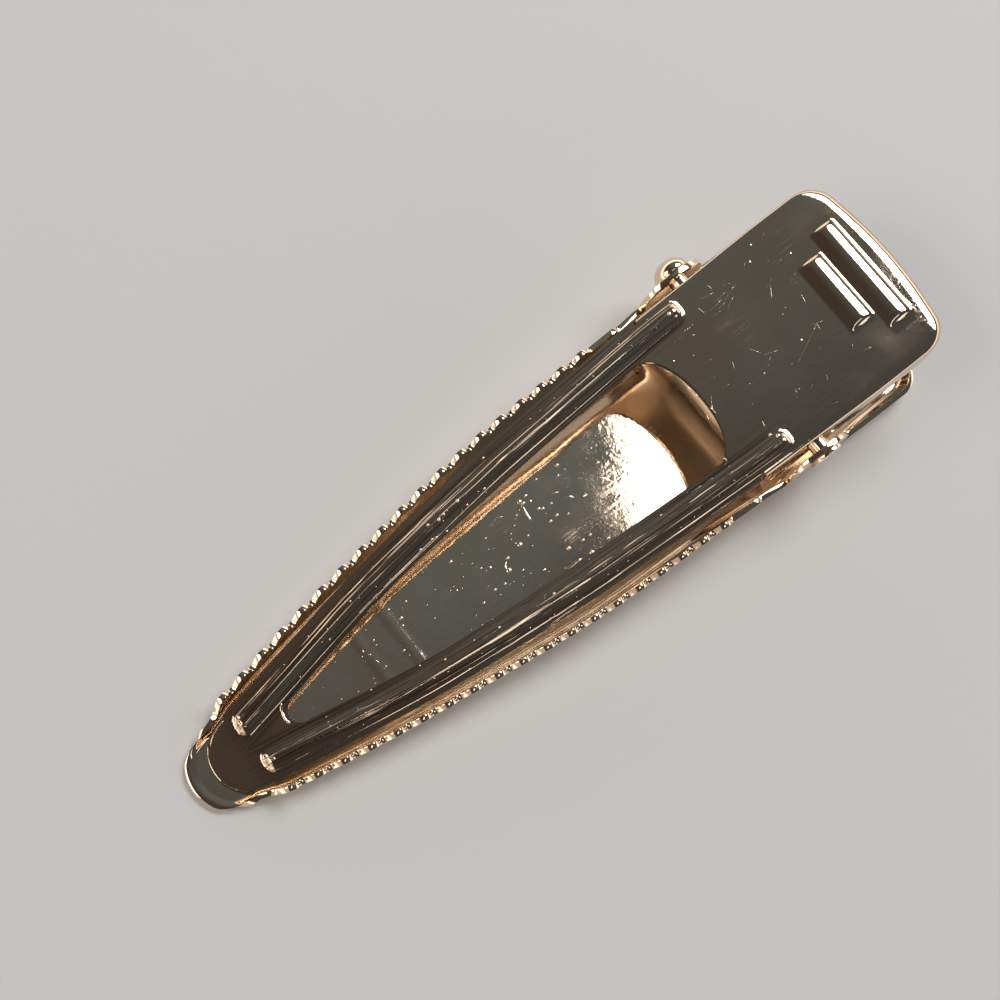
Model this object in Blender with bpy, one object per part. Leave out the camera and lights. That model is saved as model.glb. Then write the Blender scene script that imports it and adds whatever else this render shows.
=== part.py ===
"""Sprung metal hair clip: a toothed lower jaw, a lever arm with a long window, a leaf spring and a rivet pin.

Metres, +Z up, +X from the tip to the finger pads, Y across. The clip lies closed on the flat floor of its lower
jaw. The origin is on the underside of that floor, half way along the clip, in its middle plane.
"""
import math

import bmesh
import bpy
from mathutils import Matrix, Vector

mm = 0.001

# Driving sizes of the whole clip
clip_length = 75.0 * mm
jaw_half_width = 10.2 * mm
sheet = 0.45 * mm
ear_height = 6.55 * mm
pivot_z = 5.3 * mm
pivot_share = 0.79
pivot_x = pivot_share * clip_length

# Lower jaw: plan outline, flange and teeth
jaw_length_share = 0.9827
jaw_length = jaw_length_share * clip_length
jaw_tip_radius = 3.9 * mm
jaw_rear_corner_radius = 2.6 * mm
jaw_fold_radius = 0.45 * mm
jaw_tip_fold_radius = 0.45 * mm
jaw_tip_lean = 83.0
jaw_tip_even_share = 0.35
tooth_count = 19
tooth_first_share = 0.0821
tooth_pitch_share = 0.03182
tooth_first_x = tooth_first_share * jaw_length
tooth_pitch = tooth_pitch_share * jaw_length
tooth_height = 0.62 * mm
tooth_foot_share = 0.42
tooth_shoulder_share = 0.2
tooth_shoulder_height_share = 0.76
toothed_edge_share = 0.711
toothed_edge_end = toothed_edge_share * jaw_length
lip_height = 0.11 * mm
lip_end_height = 0.62 * mm
ear_half_length = 3.6 * mm
ear_foot_height = 2.75 * mm
edge_step = 0.35 * mm
wall_height = 1.35 * mm
flange_row_share = 0.6

# Share of the jaw's length, share of its half width at the reference height, reference height share of the ears'
# height, lean of the flange in degrees out of upright
jaw_side_shares = (
    (0.053, 0.375, 0.150, 20.0),
    (0.081, 0.465, 0.255, 15.0),
    (0.105, 0.503, 0.275, 14.0),
    (0.214, 0.653, 0.345, 13.0),
    (0.326, 0.772, 0.415, 12.0),
    (0.411, 0.860, 0.462, 12.0),
    (0.501, 0.926, 0.508, 12.0),
    (0.652, 0.972, 0.585, 11.0),
    (0.690, 0.984, 0.585, 9.0),
    (0.726, 0.992, 0.585, 6.0),
    (0.758, 1.000, 0.420, 0.0),
    (0.848, 1.000, 0.206, 0.0),
    (0.892, 1.006, 0.206, 18.0),
    (0.965, 1.012, 0.206, 24.0),
)

# Two low grip ribs pressed up across the jaw's floor
grip_rib_first_share = 0.2436
grip_rib_spacing_share = 0.0427
grip_rib_first_x = grip_rib_first_share * jaw_length
grip_rib_spacing = grip_rib_spacing_share * jaw_length
grip_rib_half_width = 0.8 * mm
grip_rib_half_length = 3.6 * mm
grip_rib_height = 0.08 * mm

# Lever arm: plan outline, window, stiffening ribs, pad and skirt
arm_side_gap = 1.05 * mm
arm_half_width = jaw_half_width - arm_side_gap
arm_length_share = 0.98
arm_length = arm_length_share * clip_length
arm_tip_share = 0.0287
arm_tip_x = arm_tip_share * clip_length
arm_tip_radius = 3.3 * mm
pin_below_arm = 2.09 * mm
tip_gap = 0.05 * mm
tip_droop = 0.3 * mm
tip_droop_length = 4.2 * mm
pad_corner_radius = 2.45 * mm
pad_rear_bow = 0.55 * mm
skirt_start_share = 0.6952
skirt_start = skirt_start_share * arm_length
skirt_slit = 0.35 * mm
skirt_fold_radius = 0.65 * mm
skirt_rear_fold_radius = 1.4 * mm
skirt_pin_flare = 0.2 * mm
skirt_rear_flare = 0.15 * mm
skirt_front_depth = 1.6 * mm
skirt_pin_depth = 4.4 * mm
skirt_lobe_half = 1.6 * mm
skirt_lobe_fade = 6.0 * mm
skirt_rear_depth = 2.2 * mm
skirt_round_length = 2.2 * mm
fold_steps = 3

arm_side_shares = (
    (0.044, 0.370), (0.093, 0.443), (0.187, 0.588), (0.243, 0.664), (0.311, 0.733), (0.450, 0.852),
    (0.520, 0.888), (0.640, 0.944), (0.715, 0.972), (0.870, 0.996), (1.000, 1.000),
)
window_side_shares = (
    (0.117, 0.122), (0.242, 0.325), (0.310, 0.401), (0.448, 0.496), (0.519, 0.539), (0.639, 0.597), (0.668, 0.603),
)
window_front_share = 0.1008
window_rear_share = 0.6959
window_front = window_front_share * arm_length
window_rear = window_rear_share * arm_length
window_rear_bow = 2.5 * mm
window_lead_shares = ((2.6, 0.1), (1.3, 0.45))

rib_foot_in = 0.45 * mm
rib_crest_in = 1.65 * mm
rib_inner_foot_in = 2.85 * mm
rib_crest_half = 0.07 * mm
rib_height = 0.5 * mm
rib_front_share = 0.0469
rib_rear_share = 0.7456
rib_front = rib_front_share * arm_length
rib_rear = rib_rear_share * arm_length
rib_end_radius = 0.7 * mm

ridge_height = 0.35 * mm
ridge_half_width = 1.15 * mm
long_ridge_in = 3.75 * mm
ridge_spacing = 2.9 * mm
long_ridge_at = arm_length - long_ridge_in
short_ridge_at = long_ridge_at - ridge_spacing
short_ridge_half_length = 3.65 * mm
long_ridge_half_length = 5.4 * mm
ridge_end = 0.5 * mm

# Rivet pin and its heads
pin_radius = 0.85 * mm
pin_running_gap = 0.06 * mm
pin_seat_gap = 0.02 * mm
head_gap = 0.02 * mm
dome_radius = 1.7 * mm
dome_height = 1.6 * mm
dome_rim = 0.25 * mm
button_radius = 1.62 * mm
button_height = 0.42 * mm
button_chamfer = 0.12 * mm

# Leaf spring
leaf = 0.36 * mm
leaf_half_width = 4.6 * mm
leaf_bend_radius = 1.5 * mm
leaf_upper_share = 0.936
leaf_lower_share = 0.9253
leaf_upper_foot = leaf_upper_share * clip_length
leaf_lower_foot = leaf_lower_share * clip_length
leaf_foot_gap = 0.04 * mm
leaf_foot_length = 1.3 * mm
leaf_foot_lift = 0.35 * mm
leaf_corner = 1.0 * mm

# The closed arm rises from its tip on the jaw's floor to its height over the pin
half_clip = clip_length / 2
arm_tip_z = sheet + tip_gap + tip_droop
pivot_run = pivot_x - arm_tip_x
pivot_rise = pivot_z - arm_tip_z
arm_rise_angle = math.atan2(pivot_rise, pivot_run) + math.asin(pin_below_arm / math.hypot(pivot_run, pivot_rise))
pivot_s = pivot_run * math.cos(arm_rise_angle) + pivot_rise * math.sin(arm_rise_angle)
corner_s = arm_length - skirt_rear_fold_radius - pad_rear_bow - pad_corner_radius
corner_y = arm_half_width - skirt_fold_radius - pad_corner_radius


def clear_scene():
    for item in list(bpy.data.objects):
        bpy.data.objects.remove(item, do_unlink=True)


def between(table, share, column=1):
    """Value of a column of shares at one share, with an even slope through the points."""
    if share <= table[0][0]:
        return table[0][column]
    for n in range(len(table) - 1):
        a, b = table[n], table[n + 1]
        if share <= b[0]:
            before = table[n - 1] if n else a
            after = table[n + 2] if n + 2 < len(table) else b
            t = (share - a[0]) / (b[0] - a[0])
            slope_a = (b[column] - before[column]) / (b[0] - before[0]) * (b[0] - a[0])
            slope_b = (after[column] - a[column]) / (after[0] - a[0]) * (b[0] - a[0])
            rise = b[column] - a[column]
            if rise * slope_a <= 0:
                slope_a = 0
            if rise * slope_b <= 0:
                slope_b = 0
            h1 = t * t * (3 - 2 * t)
            return a[column] + rise * h1 + slope_a * t * (1 - t) ** 2 - slope_b * t * t * (1 - t)
    return table[-1][column]


def smooth(t):
    t = max(0.0, min(1.0, t))
    return t * t * (3 - 2 * t)


# Where the rising arm is
def arm_world(s, y, h):
    """A point of the arm: s along it from its tip, y across, h above its underside."""
    x = arm_tip_x + s * math.cos(arm_rise_angle) - h * math.sin(arm_rise_angle)
    z = arm_tip_z + s * math.sin(arm_rise_angle) + h * math.cos(arm_rise_angle)
    return Vector((x - half_clip, y, z))


def arm_half(s):
    """Half width of the arm at s, its round tip included."""
    if s < arm_tip_radius:
        reach = arm_tip_radius - s
        return math.sqrt(max(0.0, arm_tip_radius ** 2 - reach ** 2))
    return arm_half_width * between(arm_side_shares, s / arm_length)


def closed_object(name, verts, faces, material):
    mesh = bpy.data.meshes.new(name)
    mesh.from_pydata([tuple(v) for v in verts], [], faces)
    mesh.update()
    bm = bmesh.new()
    bm.from_mesh(mesh)
    bmesh.ops.recalc_face_normals(bm, faces=bm.faces)
    bm.to_mesh(mesh)
    bm.free()
    item = bpy.data.objects.new(name, mesh)
    bpy.context.scene.collection.objects.link(item)
    if material:
        mesh.materials.append(material)
    return item


def paired_sheet(name, outer, inner, faces, material):
    """A closed sheet from its two skins: matching points, the faces of the outer skin, and the cut edges."""
    count = len(outer)
    edges = {}
    for face in faces:
        for a, b in zip(face, face[1:] + face[:1]):
            edges[(a, b)] = True
    every = list(faces) + [tuple(count + k for k in reversed(face)) for face in faces]
    for a, b in edges:
        if (b, a) not in edges:
            every.append((b, a, count + a, count + b))
    return closed_object(name, outer + inner, every, material)


def cut(item, tool, operation):
    change = item.modifiers.new("Cut", "BOOLEAN")
    change.operation = operation
    change.solver = "EXACT"
    change.object = tool
    tool.hide_render = True
    tool.display_type = "WIRE"


def settle(item, tools, sharp_angle):
    """Turns the finished modifiers into plain mesh and drops the cutting tools."""
    graph = bpy.context.evaluated_depsgraph_get()
    graph.update()
    done = bpy.data.meshes.new_from_object(item.evaluated_get(graph))
    done.name = item.name
    item.modifiers.clear()
    item.data = done
    for tool in tools:
        bpy.data.objects.remove(tool, do_unlink=True)
    bm = bmesh.new()
    bm.from_mesh(done)
    bmesh.ops.remove_doubles(bm, verts=bm.verts, dist=0.001 * mm)
    bmesh.ops.recalc_face_normals(bm, faces=bm.faces)
    bm.to_mesh(done)
    bm.free()
    done.polygons.foreach_set("use_smooth", [True] * len(done.polygons))
    done.set_sharp_from_angle(angle=math.radians(sharp_angle))


def plated(name, colour, roughness):
    material = bpy.data.materials.new(name)
    material.use_nodes = True
    shader = material.node_tree.nodes["Principled BSDF"]
    shader.inputs["Base Color"].default_value = (*colour, 1.0)
    shader.inputs["Metallic"].default_value = 1.0
    shader.inputs["Roughness"].default_value = roughness
    return material


# Lower jaw
def jaw_reference(x):
    """Fold line, lean and heights of the flange at x, measured from the jaw's tip."""
    share = x / jaw_length
    top_half = jaw_half_width * between(jaw_side_shares, share, 1)
    height = ear_height * between(jaw_side_shares, share, 2)
    lean = math.radians(between(jaw_side_shares, share, 3))
    return top_half, height, lean


def flange_reach(height, lean, radius):
    """How far out the sheet's outer face stands from the fold line at a height over the floor."""
    straight = height - radius * (1 - math.sin(lean))
    return radius * math.cos(lean) + straight * math.tan(lean) + sheet * math.cos(lean)


def jaw_side_stations():
    """(x, flange height) down one side, from the end of the tip's lip to the rear corner."""
    stations = []
    lip_end = jaw_tip_radius
    stations.append((lip_end, lip_end_height))
    stations.append((lip_end + edge_step, lip_end_height))
    for n in range(tooth_count):
        centre = tooth_first_x + n * tooth_pitch
        for share, rise in (
            (-tooth_foot_share, 0), (-tooth_shoulder_share, tooth_shoulder_height_share), (0, 1),
            (tooth_shoulder_share, tooth_shoulder_height_share), (tooth_foot_share, 0),
        ):
            x = centre + share * tooth_pitch
            _, peak, _ = jaw_reference(x)
            stations.append((x, peak - tooth_height * (1 - rise)))
    last = stations[-1]
    stations.append(((last[0] + toothed_edge_end) / 2, last[1]))
    stations.append((toothed_edge_end, last[1]))
    stations.append((toothed_edge_end + edge_step, ear_foot_height))
    turns = 12
    for n in range(turns + 1):
        angle = math.pi * n / turns
        x = pivot_x - ear_half_length * math.cos(angle)
        rise = math.sin(angle) ** 0.75 if 0 < n < turns else 0
        foot = ear_foot_height if n <= turns / 2 else wall_height
        stations.append((x, foot + (ear_height - foot) * rise))
    rear = jaw_length - jaw_rear_corner_radius
    for n in (1, 2, 3):
        x = pivot_x + ear_half_length + (rear - pivot_x - ear_half_length) * n / 3
        stations.append((x, wall_height))
    return stations


def jaw_chain():
    """Fold line of one half of the jaw: (x, y, outward x, outward y, height, lean, radius)."""
    chain = []
    side = jaw_side_stations()
    # The tip's lip, a half circle
    turns = 8
    for n in range(turns):
        angle = math.pi / 2 * n / turns
        blend = smooth((n / turns - jaw_tip_even_share) / (1 - jaw_tip_even_share))
        lean = math.radians(jaw_tip_lean) * (1 - blend) + jaw_reference(jaw_tip_radius)[2] * blend
        radius = jaw_tip_fold_radius * (1 - blend) + jaw_fold_radius * blend
        height = lip_height * (1 - blend) + lip_end_height * blend
        top_half, reference, _ = jaw_reference(jaw_tip_radius)
        end_reach = flange_reach(reference, jaw_reference(jaw_tip_radius)[2], jaw_fold_radius)
        tip_reach = flange_reach(height, lean, radius)
        reach = tip_reach * (1 - blend) + end_reach * blend
        fold = jaw_tip_radius * (1 - blend) + top_half * blend - reach
        chain.append((
            jaw_tip_radius - fold * math.cos(angle), fold * math.sin(angle),
            -math.cos(angle), math.sin(angle), height, lean, radius,
        ))
    for x, height in side:
        top_half, reference, lean = jaw_reference(x)
        fold = top_half - flange_reach(reference, lean, jaw_fold_radius)
        chain.append((x, fold, 0.0, 1.0, height, lean, jaw_fold_radius))
    # Rear corner, up to the straight rear edge
    lean = jaw_reference(side[-1][0])[2]
    fold = chain[-1][1]
    corner = jaw_rear_corner_radius - flange_reach(wall_height, lean, jaw_fold_radius)
    turns = 6
    for n in range(1, turns + 1):
        angle = math.pi / 2 * n / turns
        chain.append((
            jaw_length - jaw_rear_corner_radius + corner * math.sin(angle), fold - corner + corner * math.cos(angle),
            math.sin(angle), math.cos(angle), wall_height, lean, jaw_fold_radius,
        ))
    return chain


def build_jaw(material):
    """Both skins of the jaw: the flat floor, the bend round it and the leaning flange."""
    half = jaw_chain()
    far = [(x, -y, nx, -ny, height, lean, radius) for x, y, nx, ny, height, lean, radius in half]
    loop = half + far[:0:-1]
    count = len(loop)
    inner, outer = [], []
    depth = fold_steps + 3
    for x, y, nx, ny, height, lean, radius in loop:
        spots = []
        for k in range(fold_steps + 1):
            angle = (math.pi / 2 - lean) * k / fold_steps
            spots.append((
                radius * math.sin(angle), radius - radius * math.cos(angle),
                (radius + sheet) * math.sin(angle), radius - (radius + sheet) * math.cos(angle)))
        for share in (flange_row_share, 1.0):
            run_up = radius * (1 - math.sin(lean))
            rise = (height - run_up) * share
            out = radius * math.cos(lean) + rise * math.tan(lean)
            spots.append((out, run_up + rise, out + sheet * math.cos(lean), run_up + rise - sheet * math.sin(lean)))
        for in_out, in_up, out_out, out_up in spots:
            inner.append(Vector((x - half_clip + nx * in_out, y + ny * in_out, sheet + in_up)))
            outer.append(Vector((x - half_clip + nx * out_out, y + ny * out_out, sheet + out_up)))
    faces = []
    for i in range(count):
        j = (i + 1) % count
        for k in range(depth - 1):
            faces.append((i * depth + k, i * depth + k + 1, j * depth + k + 1, j * depth + k))
    last = len(half) - 1
    faces.append((0, depth, (count - 1) * depth))
    for i in range(1, last):
        faces.append((i * depth, (i + 1) * depth, (count - i - 1) * depth, (count - i) * depth))
    return paired_sheet("lower_jaw", inner, outer, faces, material)


def capsule(name, centre, half_length, half_width, height, bury, segments, rings):
    """Low rounded bar lying across the clip, its foot buried in the floor."""
    verts, faces = [], []
    profile = []
    for k in range(segments + 1):
        angle = math.pi * k / segments
        profile.append((-half_width * math.cos(angle), height * math.sin(angle)))
    profile.append((half_width, -bury))
    profile.append((-half_width, -bury))
    spans = []
    for k in range(rings + 1):
        angle = math.pi / 2 * (1 - k / rings)
        spans.append((-half_length + half_width * (1 - math.sin(angle)), max(0.12, math.cos(angle))))
    spans += [(-y, share) for y, share in reversed(spans)]
    for y, share in spans:
        for x, z in profile:
            verts.append(Vector((centre[0] + x * share, centre[1] + y, centre[2] + (z * share if z > 0 else z))))
    n = len(profile)
    for i in range(len(spans) - 1):
        for k in range(n):
            faces.append((i * n + k, i * n + (k + 1) % n, (i + 1) * n + (k + 1) % n, (i + 1) * n + k))
    faces.append(tuple(range(n)))
    faces.append(tuple(reversed(range((len(spans) - 1) * n, len(spans) * n))))
    return closed_object(name, verts, faces, None)


def rod(name, radius, y_low, y_high, sides):
    """Round rod across the clip, about the pivot."""
    verts, faces = [], []
    for y in (y_low, y_high):
        for k in range(sides):
            angle = 2 * math.pi * k / sides
            verts.append(Vector((
                pivot_x - half_clip + radius * math.cos(angle), y, pivot_z + radius * math.sin(angle))))
    for k in range(sides):
        faces.append((k, (k + 1) % sides, sides + (k + 1) % sides, sides + k))
    faces.append(tuple(reversed(range(sides))))
    faces.append(tuple(range(sides, 2 * sides)))
    return closed_object(name, verts, faces, None)


# Lever arm
def window_half(s):
    """Half width of the window at s."""
    return arm_half_width * between(window_side_shares, s / arm_length)


def arm_rows():
    """Rows across the arm: s at the sides, bow of its middle along s, reach of the bow, roundness of the bow."""
    rows = []
    turns = (36.0, 50.0, 64.0, 78.0)
    for n, degrees in enumerate(turns):
        angle = math.radians(degrees)
        s = arm_tip_radius * (1 - math.cos(angle))
        first = arm_tip_radius * (1 - math.cos(math.radians(turns[0])))
        rows.append((s, -first * (1 - n / len(turns)) ** 1.5, arm_tip_radius * math.sin(angle), 1.0))
    front = [rib_front + rib_end_radius * share for share in (0.0, 0.12, 0.4, 1.0)]
    for s in front:
        rows.append((s, 0.0, arm_half(s), 1.0))
    narrow = window_half(0.0)
    open_at = window_front + narrow
    for ahead, bow in window_lead_shares:
        rows.append((open_at - ahead * narrow, -bow * narrow, narrow, 1.0))
    rows.append((open_at, -narrow, narrow, 0.5))
    close_at = window_rear - window_rear_bow
    steps = 14
    for n in range(1, steps):
        share = n / steps
        rows.append((open_at + (close_at - open_at) * share ** 1.15, 0.0, narrow, 1.0))
    wide = window_half(close_at)
    rows.append((close_at, window_rear_bow, wide, 0.5))
    rear = [close_at + (skirt_start - skirt_slit - close_at) * share for share in (0.45, 1.0)]
    rear += [skirt_start + skirt_round_length * share for share in (0.0, 0.12, 0.4)]
    rear += [rib_rear - rib_end_radius * share for share in (1.0, 0.4, 0.12, 0.0)]
    for s in rear:
        settled = smooth((s - close_at) / (rib_rear + rib_end_radius - close_at))
        rows.append((s, window_rear_bow * 0.85 * (1 - settled), wide, 1.0))
    pad = [rib_rear + (short_ridge_at - ridge_half_width - rib_rear) * share for share in (0.2, 0.4, 0.6, 0.8)]
    for at in (short_ridge_at, long_ridge_at):
        pad += [at + ridge_half_width * share for share in (-1.0, -0.7, -0.35, 0.0, 0.35, 0.7, 1.0)]
    for s in pad:
        rows.append((s, 0.0, wide, 1.0))
    return rows


def rib_lift(s, y):
    """Height of the stiffening rib over the sheet at a place on the arm."""
    inside = arm_half(s) - abs(y)
    if inside >= rib_crest_in:
        across = (inside - rib_crest_in) / (rib_inner_foot_in - rib_crest_in)
    else:
        across = (rib_crest_in - inside) / (rib_crest_in - rib_foot_in)
    along = 0.0
    if s < rib_front + rib_end_radius:
        along = (rib_front + rib_end_radius - s) / rib_end_radius
    elif s > rib_rear - rib_end_radius:
        along = (s - rib_rear + rib_end_radius) / rib_end_radius
    far = math.sqrt(across * across + along * along)
    return rib_height * max(0.0, 1 - far)


def ridge_lift(s, y):
    """Height of the two finger ridges on the pad."""
    lift = 0.0
    for at, half_length in ((short_ridge_at, short_ridge_half_length), (long_ridge_at, long_ridge_half_length)):
        across = abs(s - at) / ridge_half_width
        along = max(0.0, (abs(y) - half_length + ridge_end) / ridge_end)
        if across < 1 and along < 1:
            lift = max(lift, ridge_height * (1 - across * across) * math.sqrt(1 - along * along))
    return lift


def droop(s):
    if s >= tip_droop_length:
        return 0.0
    return tip_droop * (1 - s / tip_droop_length) ** 2


def fold_half(s):
    """Half width of the pad's flat face at s, up to where its skirt folds down."""
    if s < corner_s:
        return arm_half(s) - skirt_fold_radius
    return corner_y + math.sqrt(max(0.0, pad_corner_radius ** 2 - (s - corner_s) ** 2))


def arm_columns(s):
    """Distances from the middle of the columns of one row: middle first, then the fold, the edge last."""
    half = arm_half(s)
    scale = min(1.0, half / (arm_tip_radius * 1.04))
    foot = half - rib_inner_foot_in * scale
    opening = min(window_half(s), foot - rib_crest_half) if s > window_front else min(window_half(s), foot * 0.85)
    crest = rib_crest_in * scale
    rail = [
        0.0, opening * 0.4, opening * 0.72, opening * 0.93, opening, foot,
        half - (rib_inner_foot_in * scale + crest) * 0.5, half - crest - rib_crest_half,
        half - crest + rib_crest_half, half - (crest + rib_foot_in * scale) * 0.5, half - rib_foot_in * scale,
    ]
    short, long = short_ridge_half_length, long_ridge_half_length
    fold = fold_half(s)
    pad = [
        0.0, short * 0.34, short * 0.66, short - ridge_end, short - ridge_end * 0.3, short,
        long - ridge_end, long - ridge_end * 0.3, long, (long + fold) / 2, fold,
    ]
    blend = smooth((s - rib_rear - 0.1 * rib_end_radius) / (short_ridge_at - ridge_half_width - rib_rear))
    return [a * (1 - blend) + b * blend for a, b in zip(rail, pad)]


def build_arm(material):
    """Both skins of the arm, with the window left open and the skirt folded down round the pad."""
    outer, inner, faces = [], [], []
    index = {}

    def add(key, top_point, low_point):
        index[key] = len(outer)
        outer.append(arm_world(*top_point))
        inner.append(arm_world(*low_point))

    rows = arm_rows()
    places = []
    for s, bow, reach, power in rows:
        line = {}
        columns = arm_columns(s) + [arm_half(s)]
        for side in (-1, 1):
            for j, y in enumerate(columns):
                shift = bow * max(0.0, 1 - (y / reach) ** 2) ** power
                line[side * j] = (s + shift, side * y)
        places.append(line)
    # The rearmost row runs along the rear fold line
    last_angle = math.radians(76.0)
    end_y = corner_y + pad_corner_radius * math.cos(last_angle)
    base = arm_columns(corner_s + pad_corner_radius * math.sin(last_angle))
    line = {}
    for side in (-1, 1):
        for j, y in enumerate(base):
            y = min(y, end_y)
            if y > corner_y:
                s = corner_s + math.sqrt(pad_corner_radius ** 2 - (y - corner_y) ** 2)
            else:
                s = corner_s + pad_corner_radius + pad_rear_bow * (1 - (y / corner_y) ** 2)
            line[side * j] = (s, side * y)
    places.append(line)
    count = len(places)
    fold = 10
    opening = 4
    for i, line in enumerate(places):
        for j in range(-fold, fold + 1):
            s, y = line[j]
            lift = rib_lift(s, y) + ridge_lift(s, y) - droop(s)
            add((i, j), (s, y, sheet + lift), (s, y, lift))
    front_row = 10
    rear_row = next(i for i, row in enumerate(rows) if row[1] == window_rear_bow and row[3] == 0.5)
    for i in range(count - 1):
        for j in range(-fold, fold):
            inside = front_row <= i < rear_row and -opening <= j < opening
            if not inside:
                faces.append((index[(i, j)], index[(i + 1, j)], index[(i + 1, j + 1)], index[(i, j + 1)]))
    # Flat margin along the sides, ahead of the skirt
    margin = [i for i in range(count - 1) if places[i][fold][0] < skirt_start - skirt_slit * 0.5]
    for side in (-1, 1):
        rim = side * (fold + 1)
        for i in margin:
            s, y = places[i][rim]
            add((i, rim), (s, y, sheet - droop(s)), (s, y, -droop(s)))
        for i in margin[:-1]:
            quad = (index[(i, side * fold)], index[(i + 1, side * fold)], index[(i + 1, rim)], index[(i, rim)])
            faces.append(quad if side == 1 else quad[::-1])
    # Skirt round the pad: a fold, then a slightly flared wall
    skirt_rows = list(range(len(margin), count))
    chain = [(i, -fold) for i in skirt_rows]
    chain += [(count - 1, j) for j in range(-fold + 1, fold)]
    chain += [(i, fold) for i in reversed(skirt_rows)]
    strips = []
    for n, (i, j) in enumerate(chain):
        s, y = places[i][j]
        out = Vector((max(0.0, s - corner_s), math.copysign(max(0.0, abs(y) - corner_y), y)))
        out.normalize()
        turned = out.x ** 2
        radius = skirt_fold_radius * (1 - turned) + skirt_rear_fold_radius * turned
        front = smooth((s - skirt_start + 0.1 * skirt_round_length) / skirt_round_length)
        back = smooth((s - pivot_s - skirt_lobe_half) / skirt_lobe_fade)
        depth = skirt_pin_depth * (1 - back) + skirt_rear_depth * back
        depth = skirt_front_depth * (1 - front) + depth * front
        flare = skirt_pin_flare * (1 - back) + skirt_rear_flare * back
        line = [index[(i, j)]]
        for k in range(1, fold_steps + 1):
            angle = math.pi / 2 * k / fold_steps
            key = ("fold", n, k)
            spots = []
            for r in (radius, radius - sheet):
                spots.append((
                    s + out.x * r * math.sin(angle), y + out.y * r * math.sin(angle),
                    sheet - radius + r * math.cos(angle)))
            add(key, *spots)
            line.append(index[key])
        for share in (0.5, 1.0):
            key = ("wall", n, share)
            low = sheet - radius - (depth - radius) * share
            spots = []
            for r in (radius, radius - sheet):
                move = r + flare * share
                spots.append((s + out.x * move, y + out.y * move, low))
            add(key, *spots)
            line.append(index[key])
        strips.append(line)
    for a, b in zip(strips, strips[1:]):
        for k in range(len(a) - 1):
            faces.append((a[k], a[k + 1], b[k + 1], b[k]))
    return paired_sheet("lever_arm", outer, inner, faces, material)


# Leaf spring
def spring_path():
    """Middle line of the leaf in side view, from the upper foot round the pin to the lower foot."""
    radius = leaf_bend_radius + leaf / 2
    path = []
    upper = arm_world((leaf_upper_foot - arm_tip_x) / math.cos(arm_rise_angle), 0.0, 0.0)
    upper_z = upper.z - leaf_foot_gap - leaf / 2
    lower_z = sheet + leaf_foot_gap + leaf / 2
    centre_x = pivot_x
    up_lean = math.atan2(upper_z - (pivot_z + radius), leaf_upper_foot - centre_x)
    down_lean = math.atan2(pivot_z - radius - lower_z, leaf_lower_foot - centre_x)
    path.append((leaf_upper_foot + leaf_foot_length, upper_z - leaf_foot_lift))
    path.append((leaf_upper_foot + leaf_foot_length * 0.5, upper_z - leaf_foot_lift * 0.3))
    path.append((leaf_upper_foot, upper_z))
    path.append((leaf_upper_foot - leaf_foot_length, upper_z - leaf_foot_lift * 0.45))
    start = math.pi / 2 + up_lean
    end = 3 * math.pi / 2 - down_lean
    turns = 12
    for n in range(turns + 1):
        angle = start + (end - start) * n / turns
        path.append((centre_x + radius * math.cos(angle), pivot_z + radius * math.sin(angle)))
    path.append((leaf_lower_foot - leaf_foot_length, lower_z + leaf_foot_lift * 0.45))
    path.append((leaf_lower_foot, lower_z))
    path.append((leaf_lower_foot + leaf_foot_length * 0.5, lower_z + leaf_foot_lift * 0.3))
    path.append((leaf_lower_foot + leaf_foot_length, lower_z + leaf_foot_lift))
    return path


def build_spring(material):
    path = spring_path()
    verts, faces = [], []
    count = len(path)
    for n, (x, z) in enumerate(path):
        ahead = path[min(n + 1, count - 1)]
        behind = path[max(n - 1, 0)]
        run = Vector((ahead[0] - behind[0], ahead[1] - behind[1]))
        run.normalize()
        side = Vector((-run.y, run.x)) * (leaf / 2)
        end_distance = min(n, count - 1 - n)
        width = leaf_half_width - (leaf_corner, leaf_corner * 0.25)[end_distance] if end_distance < 2 \
            else leaf_half_width
        for y in (-width, width):
            for way in (1, -1):
                verts.append(Vector((x + side.x * way - half_clip, y, z + side.y * way)))
    for n in range(count - 1):
        a, b = 4 * n, 4 * (n + 1)
        for p, q in ((0, 1), (1, 3), (3, 2), (2, 0)):
            faces.append((a + p, a + q, b + q, b + p))
    faces.append((0, 2, 3, 1))
    end = 4 * (count - 1)
    faces.append((end, end + 1, end + 3, end + 2))
    return closed_object("leaf_spring", verts, faces, material)


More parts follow.
